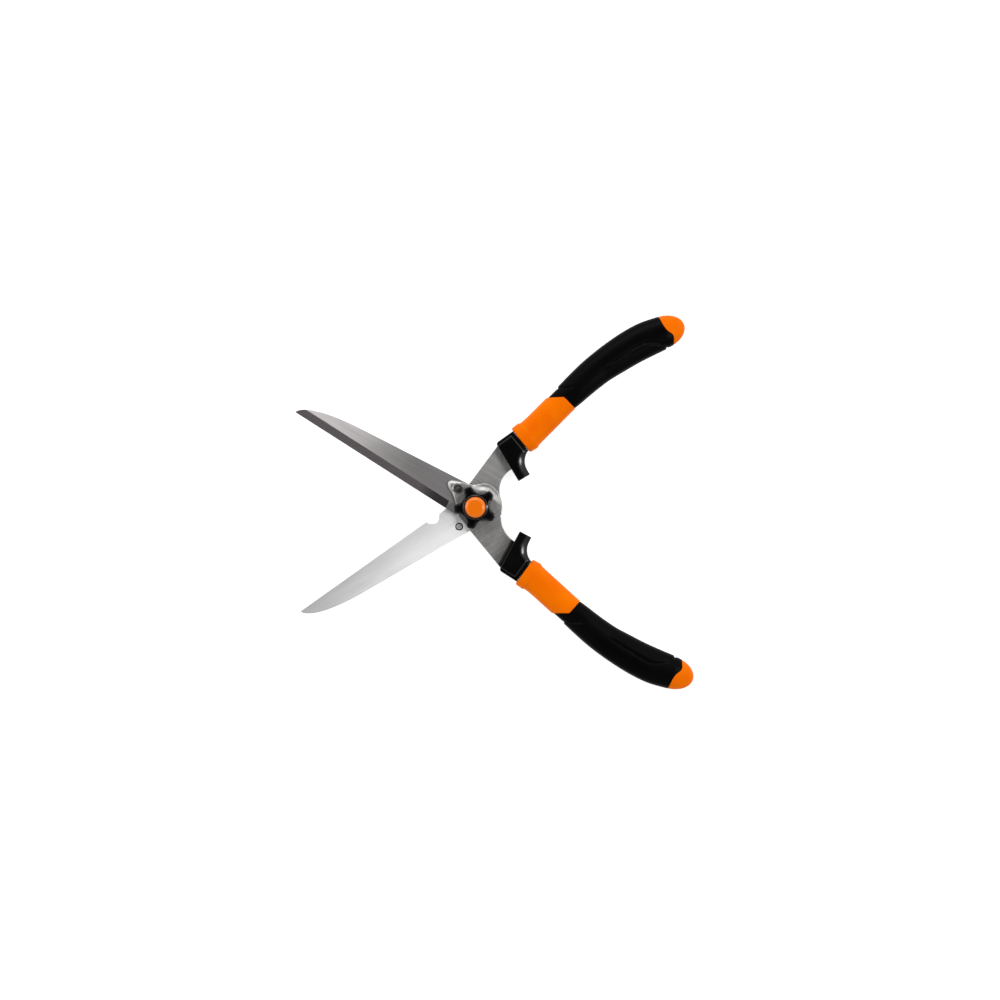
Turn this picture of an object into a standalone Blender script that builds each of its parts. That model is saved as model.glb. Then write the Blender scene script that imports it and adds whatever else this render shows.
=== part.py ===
"""Grass shears: two blade-and-tang levers on one pivot bolt, with a star knob that sets the blade tension.

Frame: origin on the pivot axis, at the flat of the bolt head, which is the plane the shears lie on.
-X points to the blade tips, +X to the handle ends, +Z to the knob. X is also the shears' line of symmetry.

Both levers are the same stampings and mouldings, turned half a turn about X for the front one. Each is
drawn in its own lever frame, in millimetres: the pivot is the origin, X runs to the handle, Y to the side
the handle is on, and Z is 0 in the plane where the blades rub, with the rear lever below it. The lever frame
is the closed pose. The front tang's arm is a little broader on its inner edge.
"""

from math import atan2, cos, pi, radians, sin, sqrt, tan

import bmesh
import bpy
from mathutils import Matrix, Vector

MM = 0.001
GAP = 0.3                    # clearance between touching pieces

# Pose and levels
HALF_OPEN_DEG = 29.5         # each lever's turn from closed, as drawn
BLADE_PLANE = 13.0           # height of the rubbing plane above the bolt head's flat
BLADE_THICK = 3.0
TANG_THICK = 4.0

# Blade, in the lever frame
BLADE_REACH = 244.5          # pivot to tip, along X
EDGE_SLOPE = 0.078           # the cutting edge climbs from the tip towards the pivot
EDGE_AT_PIVOT = 20.0         # height of the cutting edge's line above the pivot
BEVEL_WIDTH = 9.6
EDGE_LAND = 0.5              # thickness left at the cutting edge
FRONT_BEVEL_END_X = -31.0    # where each blade's ground bevel stops
REAR_BEVEL_END_X = -59.3     # and where the rear blade's notch begins
NOTCH = [(-41.3, 15.6), (-46.3, 9.4), (-51.0, 8.5), (-58.2, 12.6)]
SPINE_HEEL = (-19.0, -20.9)
SPINE_FRONT = (-165.0, -18.7)
HEEL_RADIUS = 20.5
HEEL_START_DEG = -132.0
HEEL_END_DEG = 128.0
EDGE_ROOT_X = -17.0          # where the cutting edge's line ends at the heel

# Tang plate, in the lever frame
OUTER_SHOULDER = (60.2, 49.6)
OUTER_SLOPE = 0.414          # the plate's outer edge
PLATE_TOP_X = -14.0          # where the outer edge ends over the blade
BLADE_END = [(-22.0, 8.0), (-31.0, -0.8), (-39.6, -5.6), (-43.2, -11.3), (-40.2, -15.3), (-30.0, -18.6)]
HEAD_RADIUS = 32.6           # round head about the pivot
HEAD_START_DEG = -84.0
HEAD_END_DEG = -7.0
HEAD_LEAD = [(-13.9, -23.6), (-8.6, -27.2), (-3.0, -30.8)]
INNER_EDGE = {               # the arm's inner edge: centre, radius, first and last angle of its arc
    "rear": ((60.7, -12.5), 29.4, 157.8, 91.0),
    "front": ((63.8, -19.8), 34.1, 150.5, 96.1),
}
JOGGLE_START_X = 54.5        # the plate steps to the handle's mid-plane between these two
JOGGLE_END_X = 60.0
TAIL_ROOT_Y = 31.4           # centre line of the tail, which runs into the handle
TAIL_SLOPE = 0.2485
TAIL_END_X = 186.0
TAIL_ROOT_WIDTH = 16.0
TAIL_END_WIDTH = 10.0
PIN_X = 174.0                # the pin that holds the handle on the tail
PIN_RADIUS = 2.0
PIN_HALF_LENGTH = 8.6

# Rivet that joins the blade to the tang
RIVET_AT = (-28.5, -9.9)
RIVET_RADIUS = 3.0
RIVET_FLUSH_RADIUS = 4.6
RIVET_HEAD_RADIUS = 5.2
RIVET_HEAD_HEIGHT = 2.0
COUNTERSINK_DEPTH = 1.6

# Bumper collar, in the lever frame
COLLAR_FRONT_X = 60.5
COLLAR_HALF_THICK = 11.0
HORN_END_Y = 0.2             # the two horns meet here when the shears close
HORN_WIDTH = 15.8
HORN_ARC_CENTRE = (97.0, 6.5)
HORN_ARC_RADIUS = 20.6
COLLAR_TOP_FRONT_Y = 53.2    # the outer side, at the front and further back
COLLAR_TOP_REAR = (84.0, 55.2)
COLLAR_ROUND = 3.6

# Handle, in the lever frame: centre, half width, half thickness and tilt of each section
HANDLE_SECTIONS = [
    (87.8, 40.7, 16.6, 11.5, 8.0),
    (89.2, 40.8, 18.3, 12.4, 8.0),
    (98.5, 41.5, 19.0, 12.6, 9.0),
    (101.5, 42.0, 17.4, 11.6, 12.0),
    (112.0, 44.3, 17.0, 11.5, 14.0),
    (140.0, 51.3, 16.9, 11.6, 14.0),
    (160.0, 56.2, 16.8, 12.0, 13.3),
    (180.0, 60.8, 17.6, 12.5, 12.0),
    (200.0, 64.7, 18.5, 12.8, 9.0),
    (220.0, 67.3, 19.2, 12.95, 5.5),
    (240.0, 68.7, 20.0, 13.0, 2.5),
    (260.0, 69.0, 20.7, 13.0, -1.5),
    (280.0, 67.8, 20.9, 12.9, -6.5),
    (300.0, 64.6, 19.7, 12.4, -12.0),
]
FLANGE_SECTIONS = 4          # sections up to here are joined by straight runs
END_LENGTH = 28.2            # the rounded end beyond the last section
END_DEG = -11.0
SECTION_POWER = 2.3          # superellipse: 2 is an ellipse, more is squarer
SECTION_POINTS = 20
GRIP_THICK = 2.5
GRIP_FRONT = [(125.0, 77.9), (159.0, 59.0), (167.4, 25.0)]
GRIP_REAR = [(300.0, 28.0), (304.5, 44.7), (308.8, 54.5), (305.2, 66.0), (305.6, 82.3), (309.0, 96.0)]

# Pivot stack, heights above the bolt head's flat
BOLT_RADIUS = 4.0
BOLT_HEAD_RADIUS = 10.3
BOLT_FLAT_RADIUS = 4.5
BOLT_HEAD_HEIGHT = 5.25
BOLT_RIM_HEIGHT = 1.5
BOLT_NECK_TOP = 9.3
BOLT_NECK_HALF = 4.1
BOLT_END = 33.8
BUSH_RADIUS = 6.0
WASHER_RADIUS = 12.0
WASHER_THICK = 1.6
SPRING_RADIUS = 9.0
SPRING_HEIGHT = 1.9
SPRING_THICK = 0.9

# Star knob
KNOB_BASE = 24.9
KNOB_TIP_RADIUS = 26.3
KNOB_VALLEY_RADIUS = 17.2
KNOB_SCALLOP_RADIUS = 9.8
KNOB_LOBES = 5
KNOB_FIRST_LOBE_DEG = 39.2
KNOB_TIP_ROUND = 2.6
KNOB_LOBE_TOP = 33.4
KNOB_HUB_TOP = 36.8
CAP_RADIUS = 12.6
CAP_FLOOR = 34.0
CAP_TOP = 38.8
NUT_ACROSS_FLATS = 13.0
NUT_BASE = 26.9
NUT_HEIGHT = 6.5

COLOURS = {
    "blade_steel": ((0.55, 0.55, 0.56), 0.3, 1.0),
    "tang_steel": ((0.42, 0.42, 0.42), 0.4, 1.0),
    "rivet_steel": ((0.20, 0.20, 0.19), 0.45, 1.0),
    "zinc_steel": ((0.62, 0.62, 0.64), 0.3, 1.0),
    "bumper_black": ((0.012, 0.012, 0.013), 0.25, 0.0),
    "grip_black": ((0.010, 0.010, 0.010), 0.65, 0.0),
    "knob_black": ((0.012, 0.012, 0.013), 0.22, 0.0),
    "handle_orange": ((0.90, 0.19, 0.005), 0.4, 0.0),
}


# ---- scene helpers -----------------------------------------------------------------------------------

def clear_scene():
    for old in list(bpy.data.objects):
        bpy.data.objects.remove(old)


def new_collection(name):
    collection = bpy.data.collections.new(name)
    bpy.context.scene.collection.children.link(collection)
    return collection


def new_material(name):
    colour, roughness, metallic = COLOURS[name]
    material = bpy.data.materials.new(name)
    material.use_nodes = True
    shader = material.node_tree.nodes["Principled BSDF"]
    shader.inputs["Base Color"].default_value = (*colour, 1.0)
    shader.inputs["Roughness"].default_value = roughness
    shader.inputs["Metallic"].default_value = metallic
    return material


def new_empty(name, collection, matrix):
    empty = bpy.data.objects.new(name, None)
    collection.objects.link(empty)
    empty.matrix_world = matrix
    return empty


def place(mesh, name, collection, parent=None, material=None):
    """An object for a mesh that is drawn in its parent's frame."""
    thing = bpy.data.objects.new(name, mesh)
    collection.objects.link(thing)
    thing.parent = parent
    if material:
        mesh.materials.clear()
        mesh.materials.append(material)
    return thing


def boolean(thing, cutter, operation="DIFFERENCE"):
    modifier = thing.modifiers.new(cutter.name, "BOOLEAN")
    modifier.operation = operation
    modifier.object = cutter
    modifier.solver = "EXACT"
    cutter.hide_render = True
    cutter.display_type = "WIRE"


def soften(thing, width, segments=2, angle=35.0):
    modifier = thing.modifiers.new("rounded_edges", "BEVEL")
    modifier.width = width * MM
    modifier.segments = segments
    modifier.limit_method = "ANGLE"
    modifier.angle_limit = radians(angle)


def applied(thing):
    """The object's mesh with its modifiers applied, as a new mesh."""
    bpy.context.view_layer.update()
    evaluated = thing.evaluated_get(bpy.context.evaluated_depsgraph_get())
    return bpy.data.meshes.new_from_object(evaluated)


# ---- flat outlines -----------------------------------------------------------------------------------

def arc(centre, radius, start_deg, end_deg, steps):
    """Points along an arc, both ends included."""
    points = []
    for i in range(steps + 1):
        angle = radians(start_deg + (end_deg - start_deg) * i / steps)
        points.append((centre[0] + radius * cos(angle), centre[1] + radius * sin(angle)))
    return points


def circle(centre, radius, steps=32):
    return arc(centre, radius, 0.0, 360.0, steps)[:-1]


def smooth(points, steps=4):
    """A Catmull-Rom curve through the points, both ends included."""
    padded = [points[0], *points, points[-1]]
    curve = []
    for a, b, c, d in zip(padded, padded[1:], padded[2:], padded[3:]):
        for i in range(steps):
            t = i / steps
            weights = (2 * t ** 2 - t - t ** 3, 2 - 5 * t ** 2 + 3 * t ** 3, t + 4 * t ** 2 - 3 * t ** 3,
                       t ** 3 - t ** 2)
            curve.append(tuple(sum(w * v for w, v in zip(weights, values)) / 2 for values in zip(a, b, c, d)))
    return [*curve, points[-1]]


def bezier(start, handle_a, handle_b, end, steps=10):
    """Points along a cubic curve, both ends included."""
    curve = []
    for i in range(steps + 1):
        t = i / steps
        weights = ((1 - t) ** 3, 3 * t * (1 - t) ** 2, 3 * t ** 2 * (1 - t), t ** 3)
        ends = (start, handle_a, handle_b, end)
        curve.append(tuple(sum(w * p[k] for w, p in zip(weights, ends)) for k in (0, 1)))
    return curve


def fillet(before, corner, after, radius, steps=4):
    """The round that replaces a corner between two straight edges."""
    here, back, on = Vector(corner), Vector(before), Vector(after)
    u, v = (back - here).normalized(), (on - here).normalized()
    half = u.angle(v) / 2
    reach = radius / tan(half)
    centre = here + (u + v).normalized() * (radius / sin(half))
    first, last = here + u * reach - centre, here + v * reach - centre
    start = atan2(first.y, first.x)
    sweep = (atan2(last.y, last.x) - start + pi) % (2 * pi) - pi
    angles = [start + sweep * i / steps for i in range(steps + 1)]
    return [(centre.x + radius * cos(a), centre.y + radius * sin(a)) for a in angles]


def extruded(loops, low, high):
    """A mesh from a flat outline and its holes, between two heights. The loops are in millimetres."""
    data = bpy.data.curves.new("outline", "CURVE")
    data.dimensions = "2D"
    data.fill_mode = "BOTH"
    data.extrude = (high - low) / 2 * MM
    for loop in loops:
        spline = data.splines.new("POLY")
        spline.points.add(len(loop) - 1)
        for point, (x, y) in zip(spline.points, loop):
            point.co = (x * MM, y * MM, 0.0, 1.0)
        spline.use_cyclic_u = True
    outline = bpy.data.objects.new("outline", data)
    bpy.context.scene.collection.objects.link(outline)
    mesh = applied(outline)
    bpy.data.objects.remove(outline)
    mesh.transform(Matrix.Translation((0.0, 0.0, (high + low) / 2 * MM)))
    shape = bmesh.new()
    shape.from_mesh(mesh)
    bmesh.ops.remove_doubles(shape, verts=shape.verts, dist=0.001 * MM)
    bmesh.ops.recalc_face_normals(shape, faces=shape.faces)
    bmesh.ops.dissolve_limit(shape, angle_limit=radians(0.05), verts=shape.verts, edges=shape.edges)
    shape.to_mesh(mesh)
    shape.free()
    return mesh


def box(size, centre):
    """A box mesh, in millimetres."""
    shape = bmesh.new()
    bmesh.ops.create_cube(shape, size=1.0)
    bmesh.ops.scale(shape, vec=[side * MM for side in size], verts=shape.verts)
    bmesh.ops.translate(shape, vec=[c * MM for c in centre], verts=shape.verts)
    mesh = bpy.data.meshes.new("box")
    shape.to_mesh(mesh)
    shape.free()
    return mesh


def cylinder(radius, low, high, centre=(0.0, 0.0), steps=32):
    """An upright cylinder mesh, or a prism where steps is small."""
    shape = bmesh.new()
    bmesh.ops.create_cone(shape, cap_ends=True, segments=steps, radius1=radius * MM, radius2=radius * MM,
                          depth=(high - low) * MM)
    bmesh.ops.translate(shape, vec=(centre[0] * MM, centre[1] * MM, (high + low) / 2 * MM), verts=shape.verts)
    mesh = bpy.data.meshes.new("cylinder")
    shape.to_mesh(mesh)
    shape.free()
    mesh.shade_smooth()
    mesh.set_sharp_from_angle(angle=radians(35.0 if steps > 12 else 10.0))
    return mesh


def turned(profile, steps=32):
    """A mesh turned about Z from (radius, height) points that run down the outer side."""
    shape = bmesh.new()
    verts = [shape.verts.new((r * MM, 0.0, z * MM)) for r, z in profile]
    pairs = list(zip(verts, verts[1:]))
    if profile[0][0] > 0:
        pairs.append((verts[-1], verts[0]))
    for a, b in pairs:
        shape.edges.new((a, b))
    mesh = bpy.data.meshes.new("profile")
    shape.to_mesh(mesh)
    shape.free()
    thing = bpy.data.objects.new("profile", mesh)
    bpy.context.scene.collection.objects.link(thing)
    screw = thing.modifiers.new("turn", "SCREW")
    screw.steps = screw.render_steps = steps
    screw.use_merge_vertices = True
    screw.merge_threshold = 0.00001
    result = applied(thing)
    bpy.data.objects.remove(thing)
    result.shade_smooth()
    result.set_sharp_from_angle(angle=radians(35.0))
    return result


# ---- lever pieces, in the lever frame ----------------------------------------------------------------

def edge_y(x):
    """Height of the cutting edge's line at x."""
    return EDGE_AT_PIVOT + EDGE_SLOPE * x


def blade_outline(notched):
    """The blade from the tip round the spine and the heel, back along the cutting edge."""
    tip = (-BLADE_REACH, edge_y(-BLADE_REACH))
    belly = bezier((-BLADE_REACH + 0.8, tip[1] - 1.9), (-234.0, -13.5), (-200.0, -18.3), SPINE_FRONT, 12)
    heel = arc((0.0, 0.0), HEEL_RADIUS, HEEL_START_DEG, HEEL_END_DEG, 20)
    edge = [(EDGE_ROOT_X, edge_y(EDGE_ROOT_X))]
    if notched:
        edge += [*smooth(NOTCH), (REAR_BEVEL_END_X, edge_y(REAR_BEVEL_END_X))]
    return [tip, *belly, SPINE_HEEL, *heel, *edge]


def bevel_cutter(name, cutters, lever, end_x):
    """A wedge that grinds the outer face of the blade down to the cutting edge. It stops at end_x."""
    lean = atan2(EDGE_SLOPE, 1.0)
    depth = BLADE_THICK - EDGE_LAND
    grind = atan2(depth, BEVEL_WIDTH)
    length = BLADE_REACH + 40.0 + end_x
    mesh = box((length, 40.0, 20.0), (-length / 2, 0.0, -10.0))
    edge_point = Matrix.Translation((end_x * MM, edge_y(end_x) * MM, -(GAP / 2 + EDGE_LAND) * MM))
    mesh.transform(edge_point @ Matrix.Rotation(lean, 4, "Z") @ Matrix.Rotation(grind, 4, "X"))
    return place(mesh, name, cutters, lever)


def countersink(name, cutters, lever):
    """The hole for the rivet, flared at the rubbing face."""
    face = -GAP / 2
    profile = [
        (0.0, face + 1.0), (RIVET_FLUSH_RADIUS + GAP, face + 1.0), (RIVET_FLUSH_RADIUS + GAP, face),
        (RIVET_RADIUS + GAP, face - COUNTERSINK_DEPTH), (RIVET_RADIUS + GAP, face - 9.0), (0.0, face - 9.0),
    ]
    mesh = turned(profile)
    mesh.transform(Matrix.Translation((RIVET_AT[0] * MM, RIVET_AT[1] * MM, 0.0)))
    return place(mesh, name, cutters, lever)


def make_blade(side, notched, collection, cutters, lever, material):
    face = -GAP / 2
    hole = circle((0.0, 0.0), BUSH_RADIUS + GAP)
    mesh = extruded([blade_outline(notched), hole], face - BLADE_THICK, face)
    blade = place(mesh, f"{side}_blade", collection, lever, material)
    end_x = REAR_BEVEL_END_X if notched else FRONT_BEVEL_END_X
    boolean(blade, bevel_cutter(f"{side}_bevel_cutter", cutters, lever, end_x))
    boolean(blade, countersink(f"{side}_countersink", cutters, lever))
    return blade


def tail_y(x):
    """Centre line of the tang's tail."""
    return TAIL_ROOT_Y + TAIL_SLOPE * (x - COLLAR_FRONT_X)


def tail_outline(clearance=0.0, start_x=OUTER_SHOULDER[0]):
    """The tail from its root round its end and back, on the upper side last."""
    corners = []
    for side in (-1, 1):
        run = [(start_x, TAIL_ROOT_WIDTH), (TAIL_END_X + clearance, TAIL_END_WIDTH)]
        edge = [(x, tail_y(x) + side * (width / 2 + clearance)) for x, width in run]
        corners += edge if side < 0 else edge[::-1]
    return corners


def tang_outline(side):
    """The plate, anticlockwise from its outer shoulder."""
    plate_top = (PLATE_TOP_X, OUTER_SHOULDER[1] - (OUTER_SHOULDER[0] - PLATE_TOP_X) * OUTER_SLOPE)
    blade_end = smooth([plate_top, *BLADE_END, SPINE_HEEL])
    head = arc((0.0, 0.0), HEAD_RADIUS, HEAD_START_DEG, HEAD_END_DEG, 12)
    centre, radius, first, last = INNER_EDGE[side]
    inner = arc(centre, radius, first, last, 10)
    inner_shoulder = (OUTER_SHOULDER[0], inner[-1][1])
    return [OUTER_SHOULDER, *blade_end, *HEAD_LEAD, *head, *inner, inner_shoulder, *tail_outline()]


def joggle(mesh, level):
    """Lowers the plate to its level, and leaves the tail in the handle's mid-plane."""
    shape = bmesh.new()
    shape.from_mesh(mesh)
    for x in (JOGGLE_START_X, JOGGLE_END_X):
        bmesh.ops.bisect_plane(
            shape, geom=[*shape.verts, *shape.edges, *shape.faces], dist=1e-7,
            plane_co=(x * MM, 0.0, 0.0), plane_no=(1.0, 0.0, 0.0))
    for vert in shape.verts:
        share = (JOGGLE_END_X * MM - vert.co.x) / ((JOGGLE_END_X - JOGGLE_START_X) * MM)
        vert.co.z += level * MM * min(1.0, max(0.0, share))
    bmesh.ops.triangulate(shape, faces=shape.faces)
    shape.to_mesh(mesh)
    shape.free()


def make_tang(side, bore, collection, lever, material):
    """The tang plate. bore is the outline of its pivot hole."""
    rivet_hole = circle(RIVET_AT, RIVET_RADIUS + GAP, 24)
    pin_hole = circle((PIN_X, tail_y(PIN_X)), PIN_RADIUS + GAP, 16)
    mesh = extruded([tang_outline(side), bore, rivet_hole, pin_hole], -TANG_THICK / 2, TANG_THICK / 2)
    level = -(GAP / 2 + BLADE_THICK + GAP + TANG_THICK / 2)
    joggle(mesh, level)
    return place(mesh, f"{side}_tang", collection, lever, material)


def make_rivet(side, collection, lever, material):
    """Flush at the rubbing face, with a button head on the tang."""
    top = -GAP / 2
    seat = top - BLADE_THICK - GAP - TANG_THICK - GAP
    head = [(RIVET_HEAD_RADIUS * cos(radians(a)), seat - 0.3 - (RIVET_HEAD_HEIGHT - 0.3) * sin(radians(a)))
            for a in (0, 30, 60, 90)]
    head[-1] = (0.0, head[-1][1])
    profile = [(0.0, top), (RIVET_FLUSH_RADIUS, top), (RIVET_RADIUS, top - COUNTERSINK_DEPTH),
               (RIVET_RADIUS, seat), (RIVET_HEAD_RADIUS, seat), *head]
    mesh = turned(profile, 24)
    mesh.transform(Matrix.Translation((RIVET_AT[0] * MM, RIVET_AT[1] * MM, 0.0)))
    return place(mesh, f"{side}_rivet", collection, lever, material)


def collar_outline():
    """The bumper collar: a block behind the tang's shoulder, with a horn that reaches to the closing line."""
    front, horn_end = COLLAR_FRONT_X, (COLLAR_FRONT_X + HORN_WIDTH, HORN_END_Y)
    top_front = fillet((front, 20.0), (front, COLLAR_TOP_FRONT_Y), COLLAR_TOP_REAR, COLLAR_ROUND)
    flange_x, flange_y = HANDLE_SECTIONS[0][:2]
    lean = radians(HANDLE_SECTIONS[0][4])
    behind = (flange_x - GAP - 0.1) + tan(lean) * flange_y
    rear = [(behind - tan(lean) * y, y) for y in (COLLAR_TOP_REAR[1], 25.0)]
    throat = arc(HORN_ARC_CENTRE, HORN_ARC_RADIUS, 114.0, 178.0, 7)
    return [(front, HORN_END_Y), horn_end, *throat[::-1], *rear[::-1], *top_front[::-1]]


def make_collar(side, collection, cutters, lever, material):
    mesh = extruded([collar_outline()], -COLLAR_HALF_THICK, COLLAR_HALF_THICK)
    collar = place(mesh, f"{side}_bumper", collection, lever, material)
    soften(collar, 1.2)
    slot = extruded([tail_outline(GAP, 50.0)], -TANG_THICK / 2 - GAP, TANG_THICK / 2 + GAP)
    boolean(collar, place(slot, f"{side}_collar_slot", cutters, lever))
    return collar


def handle_stations(inset, start):
    """The handle's sections from front to end, each a centre, half width, half thickness and tilt."""
    flange = HANDLE_SECTIONS[:FLANGE_SECTIONS]
    body = smooth(HANDLE_SECTIONS[FLANGE_SECTIONS - 1:], 2)[1:]
    stations = [(x, y, w - inset, h - inset, radians(tilt)) for x, y, w, h, tilt in (*flange, *body)]
    x, y, w, h, tilt = stations[-1]
    along = Vector((cos(radians(END_DEG)), sin(radians(END_DEG))))
    for angle in (18, 36, 52, 66, 78):
        step = along * (END_LENGTH - inset) * sin(radians(angle))
        round_off = cos(radians(angle))
        stations.append((x + step.x, y + step.y, w * round_off, h * round_off, tilt))
    return stations[start:]


def handle_loft(inset=0.0, start=0):
    """The handle's skin, moved inwards by inset, from one of its sections on."""
    shape = bmesh.new()
    rings = []
    for x, y, w, h, tilt in handle_stations(inset, start):
        ring = []
        for k in range(SECTION_POINTS):
            c, s = cos(2 * pi * k / SECTION_POINTS), sin(2 * pi * k / SECTION_POINTS)
            across = w * abs(c) ** (2 / SECTION_POWER) * (1 if c > 0 else -1)
            up = h * abs(s) ** (2 / SECTION_POWER) * (1 if s > 0 else -1)
            point = Vector((x - across * sin(tilt), y + across * cos(tilt), up))
            ring.append(shape.verts.new(point * MM))
        rings.append(ring)
    for one, two in zip(rings, rings[1:]):
        for k in range(SECTION_POINTS):
            nxt = (k + 1) % SECTION_POINTS
            shape.faces.new((one[k], one[nxt], two[nxt], two[k]))
    along = Vector((cos(radians(END_DEG)), sin(radians(END_DEG)), 0.0))
    tip = shape.verts.new((Vector((*HANDLE_SECTIONS[-1][:2], 0.0)) + along * (END_LENGTH - inset)) * MM)
    for k in range(SECTION_POINTS):
        shape.faces.new((rings[-1][k], rings[-1][(k + 1) % SECTION_POINTS], tip))
    shape.faces.new(rings[0])
    bmesh.ops.recalc_face_normals(shape, faces=shape.faces)
    mesh = bpy.data.meshes.new("handle")
    shape.to_mesh(mesh)
    shape.free()
    mesh.shade_smooth()
    mesh.set_sharp_from_angle(angle=radians(40.0))
    return mesh


def grip_zone(margin):
    """A prism over the stretch of handle that the soft grip covers, longer by margin at both ends."""
    front = [(x - margin, y) for x, y in GRIP_FRONT]
    rear = [(x + margin, y) for x, y in smooth(GRIP_REAR, 3)]
    return extruded([[*front, *rear]], -20.0, 20.0)


def make_handle(side, collection, cutters, lever, core_material, grip_material):
    grip = place(handle_loft(), f"{side}_grip", collection, lever, grip_material)
    boolean(grip, place(grip_zone(0.0), f"{side}_grip_zone", cutters, lever), "INTERSECT")
    boolean(grip, place(handle_loft(GRIP_THICK, 1), f"{side}_grip_inside", cutters, lever))

    core = place(handle_loft(), f"{side}_handle_core", collection, lever, core_material)
    boolean(core, place(grip_zone(GAP), f"{side}_grip_seat", cutters, lever))
    boolean(core, place(handle_loft(GRIP_THICK + GAP, 2), f"{side}_core_inside", cutters, lever), "UNION")
    socket = extruded([tail_outline(GAP, 70.0)], -TANG_THICK / 2 - GAP, TANG_THICK / 2 + GAP)
    boolean(core, place(socket, f"{side}_tail_socket", cutters, lever))
    at = (PIN_X, tail_y(PIN_X))
    pin_hole = cylinder(PIN_RADIUS + GAP, -20.0, 20.0, at, 16)
    boolean(core, place(pin_hole, f"{side}_core_pin_hole", cutters, lever))
    return core, grip


def make_pin(side, collection, lever, material):
    """The pin across the core and the tail, under the soft grip."""
    at = (PIN_X, tail_y(PIN_X))
    mesh = cylinder(PIN_RADIUS, -PIN_HALF_LENGTH, PIN_HALF_LENGTH, at, 16)
    return place(mesh, f"{side}_handle_pin", collection, lever, material)


# ---- pivot pieces, in the shears' frame --------------------------------------------------------------

def make_bolt(collection, cutters, material):
    """A carriage bolt: low domed head with a flat, square neck in the rear tang, plain shank."""
    dome = [(BOLT_FLAT_RADIUS, 0.0)]
    for share in (0.75, 0.5, 0.25, 0.0):
        run = BOLT_HEAD_RADIUS - BOLT_FLAT_RADIUS
        rise = BOLT_HEAD_HEIGHT - BOLT_RIM_HEIGHT
        dome.append((BOLT_HEAD_RADIUS - run * share, rise * (1 - sqrt(1 - (1 - share) ** 2))))
    head = [(0.0, BOLT_HEAD_HEIGHT), (BOLT_HEAD_RADIUS, BOLT_HEAD_HEIGHT), *dome[::-1], (0.0, 0.0)]
    bolt = place(turned(head), "pivot_bolt", collection, None, material)
    neck_low = BOLT_HEAD_HEIGHT - 1.0
    square = box((2 * BOLT_NECK_HALF, 2 * BOLT_NECK_HALF, BOLT_NECK_TOP - neck_low),
                 (0.0, 0.0, (BOLT_NECK_TOP + neck_low) / 2))
    square.transform(Matrix.Rotation(radians(HALF_OPEN_DEG), 4, "Z"))
    boolean(bolt, place(square, "bolt_neck", cutters), "UNION")
    shank = turned([(0.0, BOLT_END), (BOLT_RADIUS - 0.7, BOLT_END), (BOLT_RADIUS, BOLT_END - 0.7),
                    (BOLT_RADIUS, BOLT_NECK_TOP - 1.0), (0.0, BOLT_NECK_TOP - 1.0)])
    boolean(bolt, place(shank, "bolt_shank", cutters), "UNION")
    return bolt


def ring(name, inner, outer, low, high, collection, material, steps=32):
    profile = [(inner, high), (outer, high), (outer, low), (inner, low)]
    return place(turned(profile, steps), name, collection, None, material)


def make_spring_washer(low, collection, material):
    """A dished spring washer."""
    bore, rim = BOLT_RADIUS + GAP, SPRING_RADIUS
    profile = [(bore, low + SPRING_HEIGHT), (rim, low + SPRING_THICK), (rim, low),
               (bore, low + SPRING_HEIGHT - SPRING_THICK)]
    return place(turned(profile), "spring_washer", collection, None, material)


def star_outline():
    """Five lobes, left between round scallops, with rounded tips."""
    points = []
    step = 360.0 / KNOB_LOBES
    scallop_centre = KNOB_VALLEY_RADIUS + KNOB_SCALLOP_RADIUS
    for lobe in range(KNOB_LOBES):
        middle = KNOB_FIRST_LOBE_DEG + lobe * step
        tip_centre = KNOB_TIP_RADIUS - KNOB_TIP_ROUND - 1.0
        for side in (-1, 1):
            heading = radians(middle + side * 4.6)
            centre = (tip_centre * cos(heading), tip_centre * sin(heading))
            turn = middle + side * 40.0
            points += arc(centre, KNOB_TIP_ROUND + 0.8, turn - 38.0, turn + 38.0, 4)
        valley = radians(middle + step / 2)
        centre = (scallop_centre * cos(valley), scallop_centre * sin(valley))
        middle_turn = middle + step / 2 + 180.0
        points += arc(centre, KNOB_SCALLOP_RADIUS, middle_turn + 52.0, middle_turn - 52.0, 8)
    return points


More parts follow.
